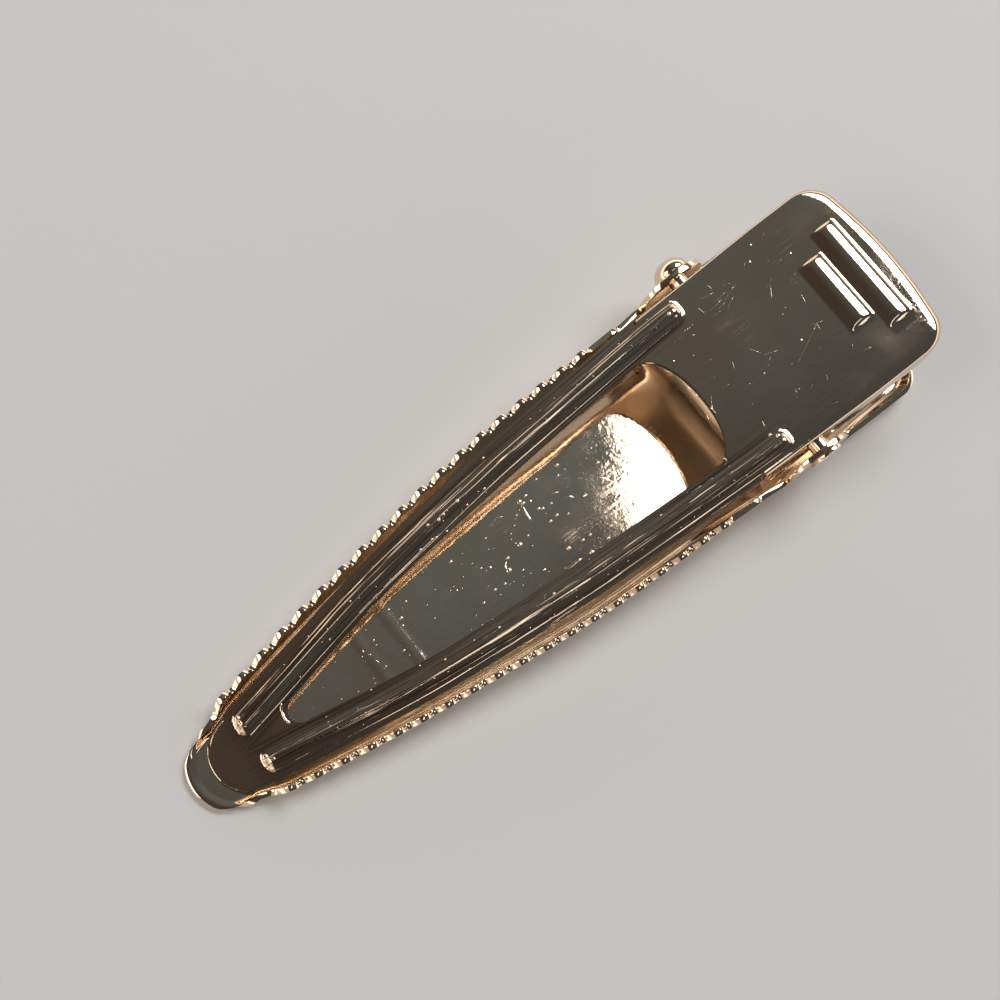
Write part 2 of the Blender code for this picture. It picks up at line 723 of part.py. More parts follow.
def build_pin(material, sides):
    """Rivet pin: a domed head on the +Y side, a flat upset head on the -Y side."""
    outer = jaw_half_width + head_gap
    profile = [(0.0, outer + dome_height)]
    rings = 7
    for n in range(1, rings + 1):
        angle = math.pi / 2 * n / rings
        y = outer + dome_rim + (dome_height - dome_rim) * math.cos(angle)
        profile.append((dome_radius * math.sin(angle), y))
    profile.append((dome_radius * 0.93, outer))
    profile.append((pin_radius, outer))
    low = -outer
    profile.append((pin_radius, low))
    profile.append((button_radius - button_chamfer, low))
    profile.append((button_radius, low - button_chamfer))
    profile.append((button_radius, low - button_height + button_chamfer))
    profile.append((button_radius - button_chamfer * 1.5, low - button_height))
    profile.append((0.0, low - button_height))
    verts, faces = [], []
    rows = []
    for radius, y in profile:
        if radius == 0:
            rows.append([len(verts)])
            verts.append(Vector((pivot_x - half_clip, y, pivot_z)))
            continue
        row = []
        for k in range(sides):
            angle = 2 * math.pi * k / sides
            row.append(len(verts))
            verts.append(Vector((
                pivot_x - half_clip + radius * math.cos(angle), y, pivot_z + radius * math.sin(angle))))
        rows.append(row)
    for a, b in zip(rows, rows[1:]):
        for k in range(sides):
            m = (k + 1) % sides
            if len(a) == 1:
                faces.append((a[0], b[k], b[m]))
            elif len(b) == 1:
                faces.append((a[k], b[0], a[m]))
            else:
                faces.append((a[k], b[k], b[m], a[m]))
    return closed_object("rivet_pin", verts, faces, material)


def move_origin(item, point):
    """Puts an object's origin on its joint's axis without moving its mesh."""
    item.data.transform(Matrix.Translation(-point))
    item.location = point


clear_scene()
gold = plated("rose gold plated steel", (0.86, 0.66, 0.52), 0.12)
gold_jaw = plated("rose gold plated jaw", (0.86, 0.67, 0.53), 0.12)
gold_pin = plated("rose gold plated rivet", (0.88, 0.70, 0.56), 0.15)
gold_leaf = plated("rose gold plated spring leaf", (0.80, 0.60, 0.46), 0.18)

jaw = build_jaw(gold_jaw)
tools = []
for n in range(2):
    x = grip_rib_first_x + n * grip_rib_spacing - half_clip
    bar = capsule(
        "bar_tool", (x, 0.0, sheet), grip_rib_half_length, grip_rib_half_width, grip_rib_height, sheet * 0.4, 6, 3)
    cut(jaw, bar, "UNION")
    tools.append(bar)
hole = rod("ear_tool", pin_radius + pin_seat_gap, -jaw_half_width * 1.3, jaw_half_width * 1.3, 32)
cut(jaw, hole, "DIFFERENCE")
tools.append(hole)
settle(jaw, tools, 40.0)

arm = build_arm(gold)
hole = rod("skirt_tool", pin_radius + pin_running_gap, -jaw_half_width * 1.3, jaw_half_width * 1.3, 32)
cut(arm, hole, "DIFFERENCE")
settle(arm, [hole], 40.0)

spring = build_spring(gold_leaf)
settle(spring, [], 30.0)
pin = build_pin(gold_pin, 32)
settle(pin, [], 40.0)

pivot = Vector((pivot_x - half_clip, 0.0, pivot_z))
move_origin(arm, pivot)
move_origin(spring, pivot)
move_origin(pin, pivot)
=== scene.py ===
"""Looks of the rose gold plated hair clip: fine sheet metal pieces, finishes, table, light and camera.

The pieces follow the solids of the frame with more points, bevelled cut edges and a plated surface. All
sizes are those of the clip: x runs from the tip to the finger pad, y across, z up, and the clip lies on its
lower jaw.
"""
import math
import random

import bmesh
import bpy
from mathutils import Matrix, Vector


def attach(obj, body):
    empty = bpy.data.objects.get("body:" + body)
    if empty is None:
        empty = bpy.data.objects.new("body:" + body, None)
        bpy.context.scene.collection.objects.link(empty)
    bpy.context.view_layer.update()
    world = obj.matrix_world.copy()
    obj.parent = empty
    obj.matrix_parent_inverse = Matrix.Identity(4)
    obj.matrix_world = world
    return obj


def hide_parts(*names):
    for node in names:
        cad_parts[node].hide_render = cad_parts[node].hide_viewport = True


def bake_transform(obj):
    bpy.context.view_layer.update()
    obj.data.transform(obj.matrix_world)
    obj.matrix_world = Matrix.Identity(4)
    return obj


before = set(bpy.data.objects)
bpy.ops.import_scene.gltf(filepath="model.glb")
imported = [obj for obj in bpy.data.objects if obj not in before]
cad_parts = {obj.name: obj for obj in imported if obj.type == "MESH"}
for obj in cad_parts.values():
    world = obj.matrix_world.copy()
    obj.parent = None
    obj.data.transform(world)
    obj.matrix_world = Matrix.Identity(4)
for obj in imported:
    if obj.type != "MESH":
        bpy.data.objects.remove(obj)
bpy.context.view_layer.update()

mm = 0.001

# Sizes of the whole clip
clip_length = 75.0 * mm
jaw_half_width = 10.2 * mm
sheet = 0.45 * mm
ear_height = 6.55 * mm
pivot_x = 0.79 * clip_length
pivot_z = 5.3 * mm
half_clip = clip_length / 2

# Lower jaw
jaw_length = 0.9827 * clip_length
jaw_tip_radius = 3.9 * mm
jaw_rear_corner_radius = 2.6 * mm
jaw_fold_radius = 0.45 * mm
jaw_tip_fold_radius = 0.45 * mm
jaw_tip_lean = math.radians(83.0)
jaw_tip_even_share = 0.35
jaw_tip_edge_drop = 0.14 * mm
tooth_count = 19
tooth_first_x = 0.0821 * jaw_length
tooth_pitch = 0.03182 * jaw_length
tooth_height = 0.62 * mm
tooth_foot_share = 0.42
tooth_roundness = 0.9
toothed_edge_end = 0.711 * jaw_length
lip_height = 0.11 * mm
lip_end_height = 0.62 * mm
ear_half_length = 3.6 * mm
ear_foot_height = 2.75 * mm
ear_roundness = 0.375
edge_step = 0.35 * mm
wall_height = 1.35 * mm
# Share of the length, share of the half width, share of the ears' height, lean in degrees
jaw_side_shares = (
    (0.053, 0.375, 0.150, 20.0), (0.081, 0.465, 0.255, 15.0), (0.105, 0.503, 0.275, 14.0),
    (0.214, 0.653, 0.345, 13.0), (0.326, 0.772, 0.415, 12.0), (0.411, 0.860, 0.462, 12.0),
    (0.501, 0.926, 0.508, 12.0), (0.652, 0.972, 0.585, 11.0), (0.690, 0.984, 0.585, 9.0),
    (0.726, 0.992, 0.585, 6.0), (0.758, 1.000, 0.420, 0.0), (0.848, 1.000, 0.206, 0.0),
    (0.892, 1.006, 0.206, 18.0), (0.965, 1.012, 0.206, 24.0),
)
grip_rib_count = 2
grip_rib_first_x = 0.2436 * jaw_length
grip_rib_spacing = 0.0427 * jaw_length
grip_rib_half_width = 0.8 * mm
grip_rib_half_length = 3.6 * mm
grip_rib_height = 0.045 * mm

# Lever arm
arm_inset = 1.05 * mm
arm_half_width = jaw_half_width - arm_inset
arm_length = 0.98 * clip_length
arm_tip_x = 0.0287 * clip_length
arm_tip_radius = 3.3 * mm
pin_below_arm = 2.09 * mm
tip_droop = 0.3 * mm
tip_droop_length = 4.2 * mm
# Where the first row crosses the round tip, how far rows bow with it, where columns have their full spread
tip_row_angle = math.radians(40.0)
tip_bow_reach = 1.6 * arm_tip_radius
tip_column_radius = 1.04 * arm_tip_radius
tip_rest_gap = 0.05 * mm
arm_tip_z = sheet + tip_rest_gap + tip_droop
pad_corner_radius = 2.45 * mm
pad_rear_bow = 0.55 * mm
# How far round the pad's corner the last row ends
pad_last_angle = math.radians(76.0)
skirt_start = 0.6952 * arm_length
skirt_slit = 0.35 * mm
skirt_fold_radius = 0.35 * mm
skirt_rear_fold_radius = 1.4 * mm
skirt_pin_flare = 0.2 * mm
skirt_rear_flare = 0.15 * mm
skirt_front_depth = 1.6 * mm
skirt_pin_depth = 4.4 * mm
skirt_lobe_half = 1.6 * mm
skirt_lobe_fade = 6.0 * mm
skirt_rear_depth = 2.1 * mm
skirt_round_length = 2.2 * mm
skirt_round_ahead = 0.1 * skirt_round_length
# Share of the length, share of the half width
arm_side_shares = (
    (0.044, 0.370), (0.093, 0.443), (0.187, 0.588), (0.243, 0.664), (0.311, 0.733), (0.450, 0.852),
    (0.520, 0.888), (0.640, 0.944), (0.715, 0.972), (0.870, 0.996), (1.000, 1.000),
)
window_side_shares = (
    (0.117, 0.122), (0.242, 0.325), (0.310, 0.401), (0.448, 0.496), (0.519, 0.539), (0.639, 0.597),
    (0.668, 0.603),
)
window_front = 0.1008 * arm_length
window_rear = 0.6959 * arm_length
window_rear_bow = 2.5 * mm
window_rear_skew = 0.3
window_rear_reach = 2.6 * window_rear_bow
window_rear_falloff = 1.3
window_front_reach = 3
window_rib_gap = 0.07 * mm
window_tip_share = 0.85
rib_foot_in = 0.45 * mm
rib_crest_in = 1.65 * mm
rib_inner_foot_in = 2.85 * mm
rib_height = 0.5 * mm
rib_front = 0.0469 * arm_length
rib_rear = 0.7456 * arm_length
rib_end_radius = 0.6 * mm
rib_end_lead = 0.1 * rib_end_radius
rib_ease_share = 0.22
ridge_height = 0.34 * mm
ridge_front_width = 1.5 * mm
ridge_rear_width = 1.15 * mm
ridge_from_rear = 3.75 * mm
ridge_spacing = 2.9 * mm
long_ridge_at = arm_length - ridge_from_rear
short_ridge_at = long_ridge_at - ridge_spacing
short_ridge_half_length = 3.65 * mm
long_ridge_half_length = 5.4 * mm
ridge_end = 0.5 * mm
ridge_end_roundness = 0.7
# Faces are the arm's underside where the cosine of their normal to its upward direction is below this
underside_lean = -0.8

# Rivet pin and leaf spring
pin_radius = 0.85 * mm
pin_running_gap = 0.06 * mm
pin_seat_gap = 0.02 * mm
head_gap = 0.02 * mm
dome_radius = 1.7 * mm
dome_height = 1.6 * mm
dome_rim = 0.25 * mm
dome_foot_radius = 0.93 * dome_radius
dome_rim_round = 0.03 * mm
pin_edge_round = 0.02 * mm
button_radius = 1.62 * mm
button_height = 0.42 * mm
button_chamfer = 0.12 * mm
button_face_radius = 0.9 * (button_radius - button_chamfer)
drill_reach = 1.3 * jaw_half_width
leaf = 0.36 * mm
leaf_half_width = 4.6 * mm
leaf_bend_radius = 1.5 * mm
leaf_upper_foot = 0.936 * clip_length
leaf_lower_foot = 0.9253 * clip_length
leaf_foot_gap = 0.04 * mm
leaf_foot_length = 1.3 * mm
leaf_foot_lift = 0.35 * mm
leaf_toe_share = 0.3
leaf_heel_share = 0.45
leaf_corner = 1.0 * mm
leaf_step = 0.5 * mm

# Fineness of the shown pieces
cell = 0.28 * mm
fine_cell = 0.6 * cell
tooth_cells = 16
bend_steps = 6
wall_steps = 5
cut_edge_angle = math.radians(55.0)
cut_edge_bevel = 0.09 * mm
tumbled_edge_bevel = 0.12 * mm
bevel_steps = 3
floor_columns = 20
cap_angle = math.radians(50.0)
cap_fade = 3.5 * mm
tip_rows = 8
corner_rows = 6
ear_turns = 32
window_columns = 9
arm_columns_from_middle = 25
pad_rear_rows = 5
leaf_turns = 24
leaf_columns = 8
dome_rings = 20
button_rings = 6
pin_turns = 96
drill_sides = 64
run_sides = 6
merged_within = 1e-7

# Shares of the radius: height of a droplet or run, how deep a run sits, its thin end, how much it wavers
drop_flatness = 0.6
run_sink = 0.3
run_end = 0.15
run_waver = 0.2
run_waver_turn = 2.4
# Half width of a scratch
hairline = 0.024 * mm
# How far the placed droplets and runs have spread, as factors of the sizes in the lists
jaw_drop_spread = 1.3
jaw_run_spread = 1.5
arm_drop_spread = 1.2
# Small droplets strewn over the floor and the rails, with ranges in millimetres: low and high corner, radius
strewn_seed = 11
strewn_drops = 90
strewn_on_floor = ((-27, -5.5), (10, 5.5))
strewn_on_rails = ((9, -9), (52, 9))
strewn_radius = (0.03, 0.06)
# Half width of the strewn wedge of the floor at its front, how fast it widens, reach past the inner foot
floor_front_half = 2
floor_widening = 0.1
strewn_past_rib = 0.2 * mm
# Fine scratches strewn over the pad, but not over the window, in millimetres and radians
strewn_scratches = 26
scratches_along = (50, 66)
scratches_across = (-8, 8)
scratch_turn = (-0.4, 1.2)
scratch_length = (0.3, 1.0)
scratch_width_share = 0.6
window_end = 53
window_side = 7
# Places in millimetres from the middle of the clip, then the radius
jaw_drops = (
    (3.8, 3.7, .16), (3.3, 2.9, .09), (1.5, 3.8, .09), (-.2, 3.2, .13), (0, 1.6, .11), (.3, 1.4, .11),
    (1.2, 1.3, .09), (.9, .2, .12), (.1, .1, .12), (1.8, -.3, .08), (-2.3, .3, .08), (-5.4, 2.3, .07),
    (2.1, -2.9, .12), (1.3, -2.9, .11), (-.2, -2.7, .16), (3.2, -4.1, .12), (4.1, -3.4, .11), (-3.4, .1, .18),
    (-5, -.2, .12), (-5.6, -1.1, .19), (-6.6, -1.8, .09), (-7.6, -1.7, .09), (-4.6, -1.8, .08),
    (-3.1, -2.9, .11), (1.2, -4.2, .18), (2.1, -4.4, .11), (-9.1, 2.5, .12), (-7.4, .5, .08),
    (-9.1, -2, .09), (-14.3, 2.1, .08), (-15.5, 1.2, .13), (-15.9, 2.4, .09),
    (6.9, 1.7, .12), (7.8, 3, .11), (8.9, 3.4, .09), (5.1, -2.7, .09), (-18.5, 1.1, .08), (-17, -1.1, .08),
    (-1, 3.1, .17), (-.8, 2.8, .14), (-2.7, 1.7, .05), (-3.4, 1.3, .05), (-3.7, .9, .05), (-3.6, .4, .05),
)
# Width of a run, then its points
jaw_runs = (
    (.10, (-1.1, 3.2), (-.84, 2.8), (-1.28, 2.6), (-1.77, 2.4), (-2.32, 2.05)),
    (.09, (-.99, 2.64), (-1.13, 1.9), (-1.21, 1.12)), (.06, (1.78, 1.96), (2.42, 1.71)),
    (.06, (2.71, 1.02), (3.21, .47)), (.06, (2.8, .6), (3.1, .9)),
    (.08, (3.53, -.06), (3.96, .1), (4.24, -.02)),
    (.07, (5.94, .72), (6.54, .18), (6.45, -.04), (5.86, -.17), (5.35, -.08)),
    (.05, (5.79, -.59), (5.55, -.99)),
    (.04, (-3.88, 3.11), (-3.4, 3.13), (-2.95, 2.88)), (.07, (-5.22, -.33), (-5.63, -.65), (-5.6, -1.14)),
    (.11, (-1.61, -3.77), (-1.29, -4.07), (-.51, -4.04), (.16, -4.08)), (.05, (-19.72, 1.07), (-19.81, .73)),
    (.05, (-19.64, .42), (-19.37, .25)), (.05, (-19.43, -.27), (-19.28, -.68)),
    (.05, (-19.31, -1.31), (-18.92, -1.19)),
)
# Places along the arm and across it, then the radius
arm_drops = (
    (29, 5.6, .13), (29.5, 4.9, .08), (26.8, 5.3, .13), (27.4, 5.4, .09), (25.8, 5.5, .1), (25.4, 4.4, .09),
    (25.8, 4.3, .09), (26.8, 4.2, .08), (24.1, 4.3, .08), (33.1, 7.2, .1), (31.5, 5.1, .09),
    (30.4, -5.4, .1), (25.1, -4.8, .09), (41.7, -5.8, .08), (16.9, 4.4, .07), (13.7, 3, .07),
    (20, -4.1, .08), (19.8, -4.8, .08), (18.1, -3.2, .07), (13.8, -2.3, .06), (53.6, 7.3, .14),
    (54, 6.8, .1), (53.6, -6.2, .13), (54, -6.7, .17), (54.2, 4.6, .06), (53, 3.2, .05), (61.6, 1.3, .04),
    (4.03, 2.48, .22), (3.94, -1.33, .22),
)
# Hairline scratches on the pad, each with its points
arm_scratches = (
    ((56.9, 6.7), (58.1, 6.5)), ((56.8, 5.4), (58.3, 5.6)), ((57.8, 5.8), (59, 5.9)),
    ((57.5, 5.1), (58.3, 5.2)), ((58.5, 5.4), (60.1, 5.9)), ((58.2, 4.7), (59.3, 5.2)),
    ((58.1, 7.4), (58.2, 6.8)), ((56.1, 6.3), (56.3, 5.5)), ((52.4, 5.1), (53.2, 5.3), (54, 5.4)),
    ((52.9, 5.1), (54.5, 5.4)), ((54.3, 5.3), (54.9, 5.4)), ((59.8, -2.8), (61.6, -2), (63.3, -1.2)),
    ((63.4, -1.1), (63.3, -1.8)), ((63.1, -1), (64, -1.3)), ((57.2, .8), (57.8, -.2)),
    ((57.9, -.5), (59.1, -.9)), ((62.5, 4), (61.7, 2.8)), ((64.1, 3.1), (65.1, 3.5)),
    ((64.1, 1.9), (63.9, .7)), ((65.1, -5.5), (65.8, -5.7)), ((51.9, -.4), (51.2, -1.4), (51.2, -1.9)),
    ((53.9, -4.7), (53.7, -5.5)),
)
# Runs of lacquer at the ribs' front ends and the window's narrow end, burrs along the window's rear edge
arm_runs = (
    (.20, (4.03, 2.48), (4.0, 2.1), (4.23, 1.51)), (.20, (3.94, -1.33), (4.1, -1.65), (4.5, -1.95)),
    (.15, (7.55, 1.4), (7.2, .9), (7.02, .31), (7.0, 0), (7.1, -.4)),
    (.09, (1.04, 2.12), (1.7, 2.62), (2.48, 2.95), (3.08, 3.08)),
    (.04, (50.1, 3.9), (50.5, 3.2)), (.04, (50.7, 1.7), (50.9, .9)), (.04, (50.9, .6), (50.95, .1)),
    (.04, (50.5, -1.3), (50.3, -2.1)),
    (.04, (48.7, -5.5), (48.95, -5.3), (49.2, -5.4), (49.1, -5.7), (48.8, -5.8)),
    (.04, (45, -5.85), (46.1, -5.95)), (.04, (46.5, -5.97), (47.3, -6.05)),
)

# Camera, fitted to the photograph
camera_place = Vector((-48.43, -17.05, 141.05)) * mm
camera_tilt_across = math.radians(8.6)
camera_tilt_along = math.radians(18.0)
camera_turn = math.radians(36.65)
camera_lens = 62.64
camera_sensor = 36.0
camera_clip_start = 5 * mm

# Table, in metres, and the gap left under the clip
table_half_width = 1.5
table_gap = 0.02 * mm
table_colour = "#d5d4d3"
table_roughness = 0.7

# Room: brightness of the walls against white, their colour, how steep a view leaves them or is all wall
wall_light = 1.5
wall_colour = "#fdf8f2"
wall_top = 0.40
wall_full = 0.22
overhead_colour = "#4a4440"
# Tones overhead: axis, where each begins and is full, how much of it shows, its course, its colour
overhead_tones = (
    ("X", -0.12, 0.28, 1.0, "LINEAR", "#5f676a"),
    ("Y", 0.13, 0.05, 0.6, "LINEAR", "#3c4042"),
    ("X", -0.58, -0.72, 1.0, "SMOOTHSTEP", "#bdb4a9"),
)
# Lamps: place and size in metres, brightness against white, colour, and the turn of a level one
lamps = (
    ("ceiling panel", (1.024, 0.168, 1.0), (1.0, 0.8), 7.0, "#ffffff", math.radians(-30)),
    ("far lamp", (-0.380, 0.182, 0.354), (0.34, 0.22), 2.6, "#fffaf0"),
    ("near lamp", (0.04, -0.275, 0.8), (0.35, 0.12), 1.6, "#ffffff"),
)

# Plated surface: creases of the rib as millimetres in from the edge and height of the step in millimetres
rib_creases = ((0.80, 0.004), (1.15, 0.009), (2.25, -0.009), (2.95, -0.006))
crease_half_width = 0.07
# Painted shade beside the creases, dark brown, which also darkens the drawing streaks: how far past a crease
# it lies, its half width full and faded, and its strength
crease_shade_and_streak_colour = "#6b4f3a"
crease_shade_past = 0.09
crease_shade_widths = (0.02, 0.07)
crease_shade_share = 0.6
# Where the marks of drawing fade in and out along the rib, and across it in from the edge
marks_front = (rib_front - 2 * mm, rib_front + 1 * mm)
marks_rear = (rib_rear - 2 * mm, rib_rear + 0.5 * mm)
marks_across = (0.0, rib_foot_in, rib_inner_foot_in + 0.3 * mm, rib_inner_foot_in + 1 * mm)
# Turns of the hairline scratches, in degrees
hairline_turns = (25, 78, -38)

# Millimetres in a metre, for patterns given in millimetres
per_metre = 1000.0

# The closed arm rises from its tip on the jaw's floor to its height over the pin
pivot_run = pivot_x - arm_tip_x
pivot_rise = pivot_z - arm_tip_z
line_angle = math.atan2(pivot_rise, pivot_run)
arm_rise_angle = line_angle + math.asin(pin_below_arm / math.hypot(pivot_run, pivot_rise))
pivot_s = pivot_run * math.cos(arm_rise_angle) + pivot_rise * math.sin(arm_rise_angle)
corner_s = arm_length - skirt_rear_fold_radius - pad_rear_bow - pad_corner_radius
corner_y = arm_half_width - skirt_fold_radius - pad_corner_radius


# Curves through the named shares
def between(table, share, column=1):
    """Value of a column of shares at one share, with an even slope through the points."""
    if share <= table[0][0]:
        return table[0][column]
    for n in range(len(table) - 1):
        a, b = table[n], table[n + 1]
        if share <= b[0]:
            before = table[n - 1] if n else a
            after = table[n + 2] if n + 2 < len(table) else b
            t = (share - a[0]) / (b[0] - a[0])
            slope_a = (b[column] - before[column]) / (b[0] - before[0]) * (b[0] - a[0])
            slope_b = (after[column] - a[column]) / (after[0] - a[0]) * (b[0] - a[0])
            rise = b[column] - a[column]
            if rise * slope_a <= 0:
                slope_a = 0
            if rise * slope_b <= 0:
                slope_b = 0
            h1 = t * t * (3 - 2 * t)
            return a[column] + rise * h1 + slope_a * t * (1 - t) ** 2 - slope_b * t * t * (1 - t)
    return table[-1][column]


def smooth(t):
    t = max(0.0, min(1.0, t))
    return t * t * (3 - 2 * t)


def eased(t, ease):
    """A straight ramp from 0 to 1 with both its ends rounded over a share of its length."""
    t = max(0.0, min(1.0, t))
    if t < ease:
        return t * t / (2 * ease * (1 - ease))
    if t > 1 - ease:
        return 1 - (1 - t) ** 2 / (2 * ease * (1 - ease))
    return (t - ease / 2) / (1 - ease)


def spread(start, *stops):
    """Evenly spaced values from start through each (stop, count), start left out."""
    values = []
    for stop, count in stops:
        values += [start + (stop - start) * n / count for n in range(1, count + 1)]
        start = stop
    return values


# Mesh helpers
def lattice(rows, columns):
    """A flat grid as a bmesh, and its vertices by row and column, the columns counted from the middle."""
    bm = bmesh.new()
    made = bmesh.ops.create_grid(bm, x_segments=rows - 1, y_segments=columns - 1, size=0.5)
    spots = {}
    for vert in made["verts"]:
        row = round((vert.co.x + 0.5) * (rows - 1))
        column = round((vert.co.y + 0.5) * (columns - 1)) - (columns - 1) // 2
        spots[row, column] = vert
    return bm, spots


def extrude_rim(bm, chain, places, closed=False):
    """Extrudes a chain of rim vertices once and moves the new ones to their places."""
    ends = chain[1:] + chain[:1] if closed else chain[1:]
    edges = [bm.edges.get((a, b)) for a, b in zip(chain, ends)]
    made = bmesh.ops.extrude_edge_only(bm, edges=edges)
    fresh = {item for item in made["geom"] if isinstance(item, bmesh.types.BMVert)}
    follow = {}
    for vert in fresh:
        for edge in vert.link_edges:
            other = edge.other_vert(vert)
            if other not in fresh:
                follow[other] = vert
    moved = [follow[vert] for vert in chain]
    for vert, place in zip(moved, places):
        vert.co = place
    return moved


def thicken(bm, thickness, bevel):
    """Gives a sheet its thickness on the inner side and rounds its cut edges."""
    bmesh.ops.solidify(bm, geom=bm.faces[:], thickness=thickness)
    bm.normal_update()
    sharp = [e for e in bm.edges if len(e.link_faces) == 2 and e.calc_face_angle() > cut_edge_angle]
    bmesh.ops.bevel(
        bm, geom=sharp, offset=bevel, offset_type="OFFSET", segments=bevel_steps, profile=0.5,
        affect="EDGES", material=-1, clamp_overlap=True)


def finished(name, bm, material, body, *nodes):
    """Turns a bmesh into a smooth piece, riding on a body and standing for solids where these are named."""
    mesh = bpy.data.meshes.new(name)
    bm.to_mesh(mesh)
    bm.free()
    mesh.shade_smooth()
    mesh.materials.append(material)
    item = bpy.data.objects.new(name, mesh)
    bpy.context.scene.collection.objects.link(item)
    if body:
        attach(item, body)
    if nodes:
        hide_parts(*nodes)
    return item


def weigh_normals(item):
    """Lets the large faces set the shading, so that the flats stay flat beside a small bevel."""
    change = item.modifiers.new("Weighted normals", "WEIGHTED_NORMAL")
    change.keep_sharp = True


def bored(item, radius):
    """Drills a round hole across the clip at the pivot."""
    bm = bmesh.new()
    place = Matrix.Translation((pivot_x - half_clip, 0, pivot_z)) @ Matrix.Rotation(math.pi / 2, 4, "X")
    bmesh.ops.create_cone(
        bm, segments=drill_sides, radius1=radius, radius2=radius, depth=2 * drill_reach, cap_ends=True,
        matrix=place)
    mesh = bpy.data.meshes.new("drill")
    bm.to_mesh(mesh)
    bm.free()
    drill = bpy.data.objects.new("drill", mesh)
    bpy.context.scene.collection.objects.link(drill)
    change = item.modifiers.new("Drill", "BOOLEAN")
    change.operation = "DIFFERENCE"
    change.solver = "EXACT"
    change.object = drill
    graph = bpy.context.evaluated_depsgraph_get()
    done = bpy.data.meshes.new_from_object(item.evaluated_get(graph))
    item.modifiers.clear()
    item.data = done
    done.name = item.name
    bpy.data.objects.remove(drill, do_unlink=True)


# Lower jaw
def jaw_reference(x):
    """Half width, height and lean of the flange at x, measured from the jaw's tip."""
    share = x / jaw_length
    half = jaw_half_width * between(jaw_side_shares, share, 1)
    height = ear_height * between(jaw_side_shares, share, 2)
    lean = math.radians(between(jaw_side_shares, share, 3))
    return half, height, lean


def flange_reach(height, lean, radius):
    """How far out the sheet's outer face stands from the fold line at a height over the floor."""
    straight = height - radius * (1 - math.sin(lean))
    return radius * math.cos(lean) + straight * math.tan(lean) + sheet * math.cos(lean)


def flange_height(x):
    """Height of the flange's edge: the tip's lip, the teeth, the ears and the low wall of the rear grip."""
    first_foot = tooth_first_x - tooth_foot_share * tooth_pitch
    last_foot = tooth_first_x + (tooth_count - 1 + tooth_foot_share) * tooth_pitch
    valley = jaw_reference(min(x, last_foot))[1] - tooth_height
    if x < first_foot:
        rise = smooth((x - jaw_tip_radius - edge_step) / (first_foot - jaw_tip_radius - edge_step))
        return lip_end_height + (valley - lip_end_height) * rise
    if x <= last_foot:
        tooth = round((x - tooth_first_x) / tooth_pitch)
        away = abs(x - tooth_first_x - tooth * tooth_pitch) / (tooth_foot_share * tooth_pitch)
        return valley + tooth_height * (math.cos(math.pi / 2 * away) ** tooth_roundness if away < 1 else 0.0)
    if x < toothed_edge_end + edge_step:
        return valley + (ear_foot_height - valley) * smooth((x - toothed_edge_end) / edge_step)
    ear = (x - pivot_x) / ear_half_length
    foot = ear_foot_height if ear < 0 else wall_height
    if abs(ear) >= 1:
        return foot
    return foot + (ear_height - foot) * (1 - ear * ear) ** ear_roundness


def tip_fold(angle):
    """Fold line round the jaw's tip: place, outward direction, height, lean and radius."""
    blend = smooth((abs(angle) / (math.pi / 2) - jaw_tip_even_share) / (1 - jaw_tip_even_share))
    side_half, side_height, side_lean = jaw_reference(jaw_tip_radius)
    lean = jaw_tip_lean * (1 - blend) + side_lean * blend
    radius = jaw_tip_fold_radius * (1 - blend) + jaw_fold_radius * blend
    height = lip_height * (1 - blend) + lip_end_height * blend
    end_reach = flange_reach(side_height, side_lean, jaw_fold_radius)
    reach = flange_reach(height, lean, radius) * (1 - blend) + end_reach * blend
    fold = jaw_tip_radius * (1 - blend) + side_half * blend - reach
    out = Vector((-math.cos(angle), math.sin(angle), 0))
    place = Vector((jaw_tip_radius + out.x * fold, out.y * fold, 0))
    return place, out, height, lean, radius


def side_fold(x):
    """Fold line along a side, as tip_fold gives it."""
    half, reference, lean = jaw_reference(x)
    place = Vector((x, half - flange_reach(reference, lean, jaw_fold_radius), 0))
    return place, Vector((0, 1, 0)), flange_height(x), lean, jaw_fold_radius


def rear_fold(angle):
    """Fold line round a rear corner, the angle counted from the side."""
    start = jaw_length - jaw_rear_corner_radius
    place, _, height, lean, radius = side_fold(start)
    corner = jaw_rear_corner_radius - flange_reach(wall_height, lean, radius)
    out = Vector((math.sin(angle), math.cos(angle), 0))
    return Vector((start, place.y - corner, 0)) + out * corner, out, height, lean, radius


def jaw_stations():
    """Fold line down one side, from the tip's cap to the rear corner's middle, finest along the teeth."""
    corner = math.radians(45)
    rows = [tip_fold(cap_angle + (math.pi / 2 - cap_angle) * n / tip_rows) for n in range(tip_rows)]
    first_foot = tooth_first_x - tooth_pitch / 2
    teeth_end = first_foot + tooth_count * tooth_pitch
    rear = jaw_length - jaw_rear_corner_radius
    stops = spread(
        jaw_tip_radius, (first_foot, 8), (teeth_end, tooth_count * tooth_cells), (toothed_edge_end, 6),
        (toothed_edge_end + edge_step, 4), (pivot_x - ear_half_length, 12))
    rows += [side_fold(x) for x in [jaw_tip_radius] + stops]
    ear_angles = [math.pi * n / ear_turns for n in range(1, ear_turns + 1)]
    rows += [side_fold(pivot_x - ear_half_length * math.cos(angle)) for angle in ear_angles]
    rows += [side_fold(x) for x in spread(pivot_x + ear_half_length, (rear, 20))]
    rows += [rear_fold(corner * n / corner_rows) for n in range(1, corner_rows + 1)]
    return rows


def grip_rib_lift(x, y):
    """Height of the low bars pressed up across the floor."""
    lift = 0.0
    for n in range(grip_rib_count):
        across = (x - grip_rib_first_x - n * grip_rib_spacing) / grip_rib_half_width
        along = max(0.0, abs(y) - grip_rib_half_length + grip_rib_half_width) / grip_rib_half_width
        away = math.hypot(across, along)
        if away < 1:
            lift = grip_rib_height * math.cos(math.pi / 2 * away) ** 2
    return lift


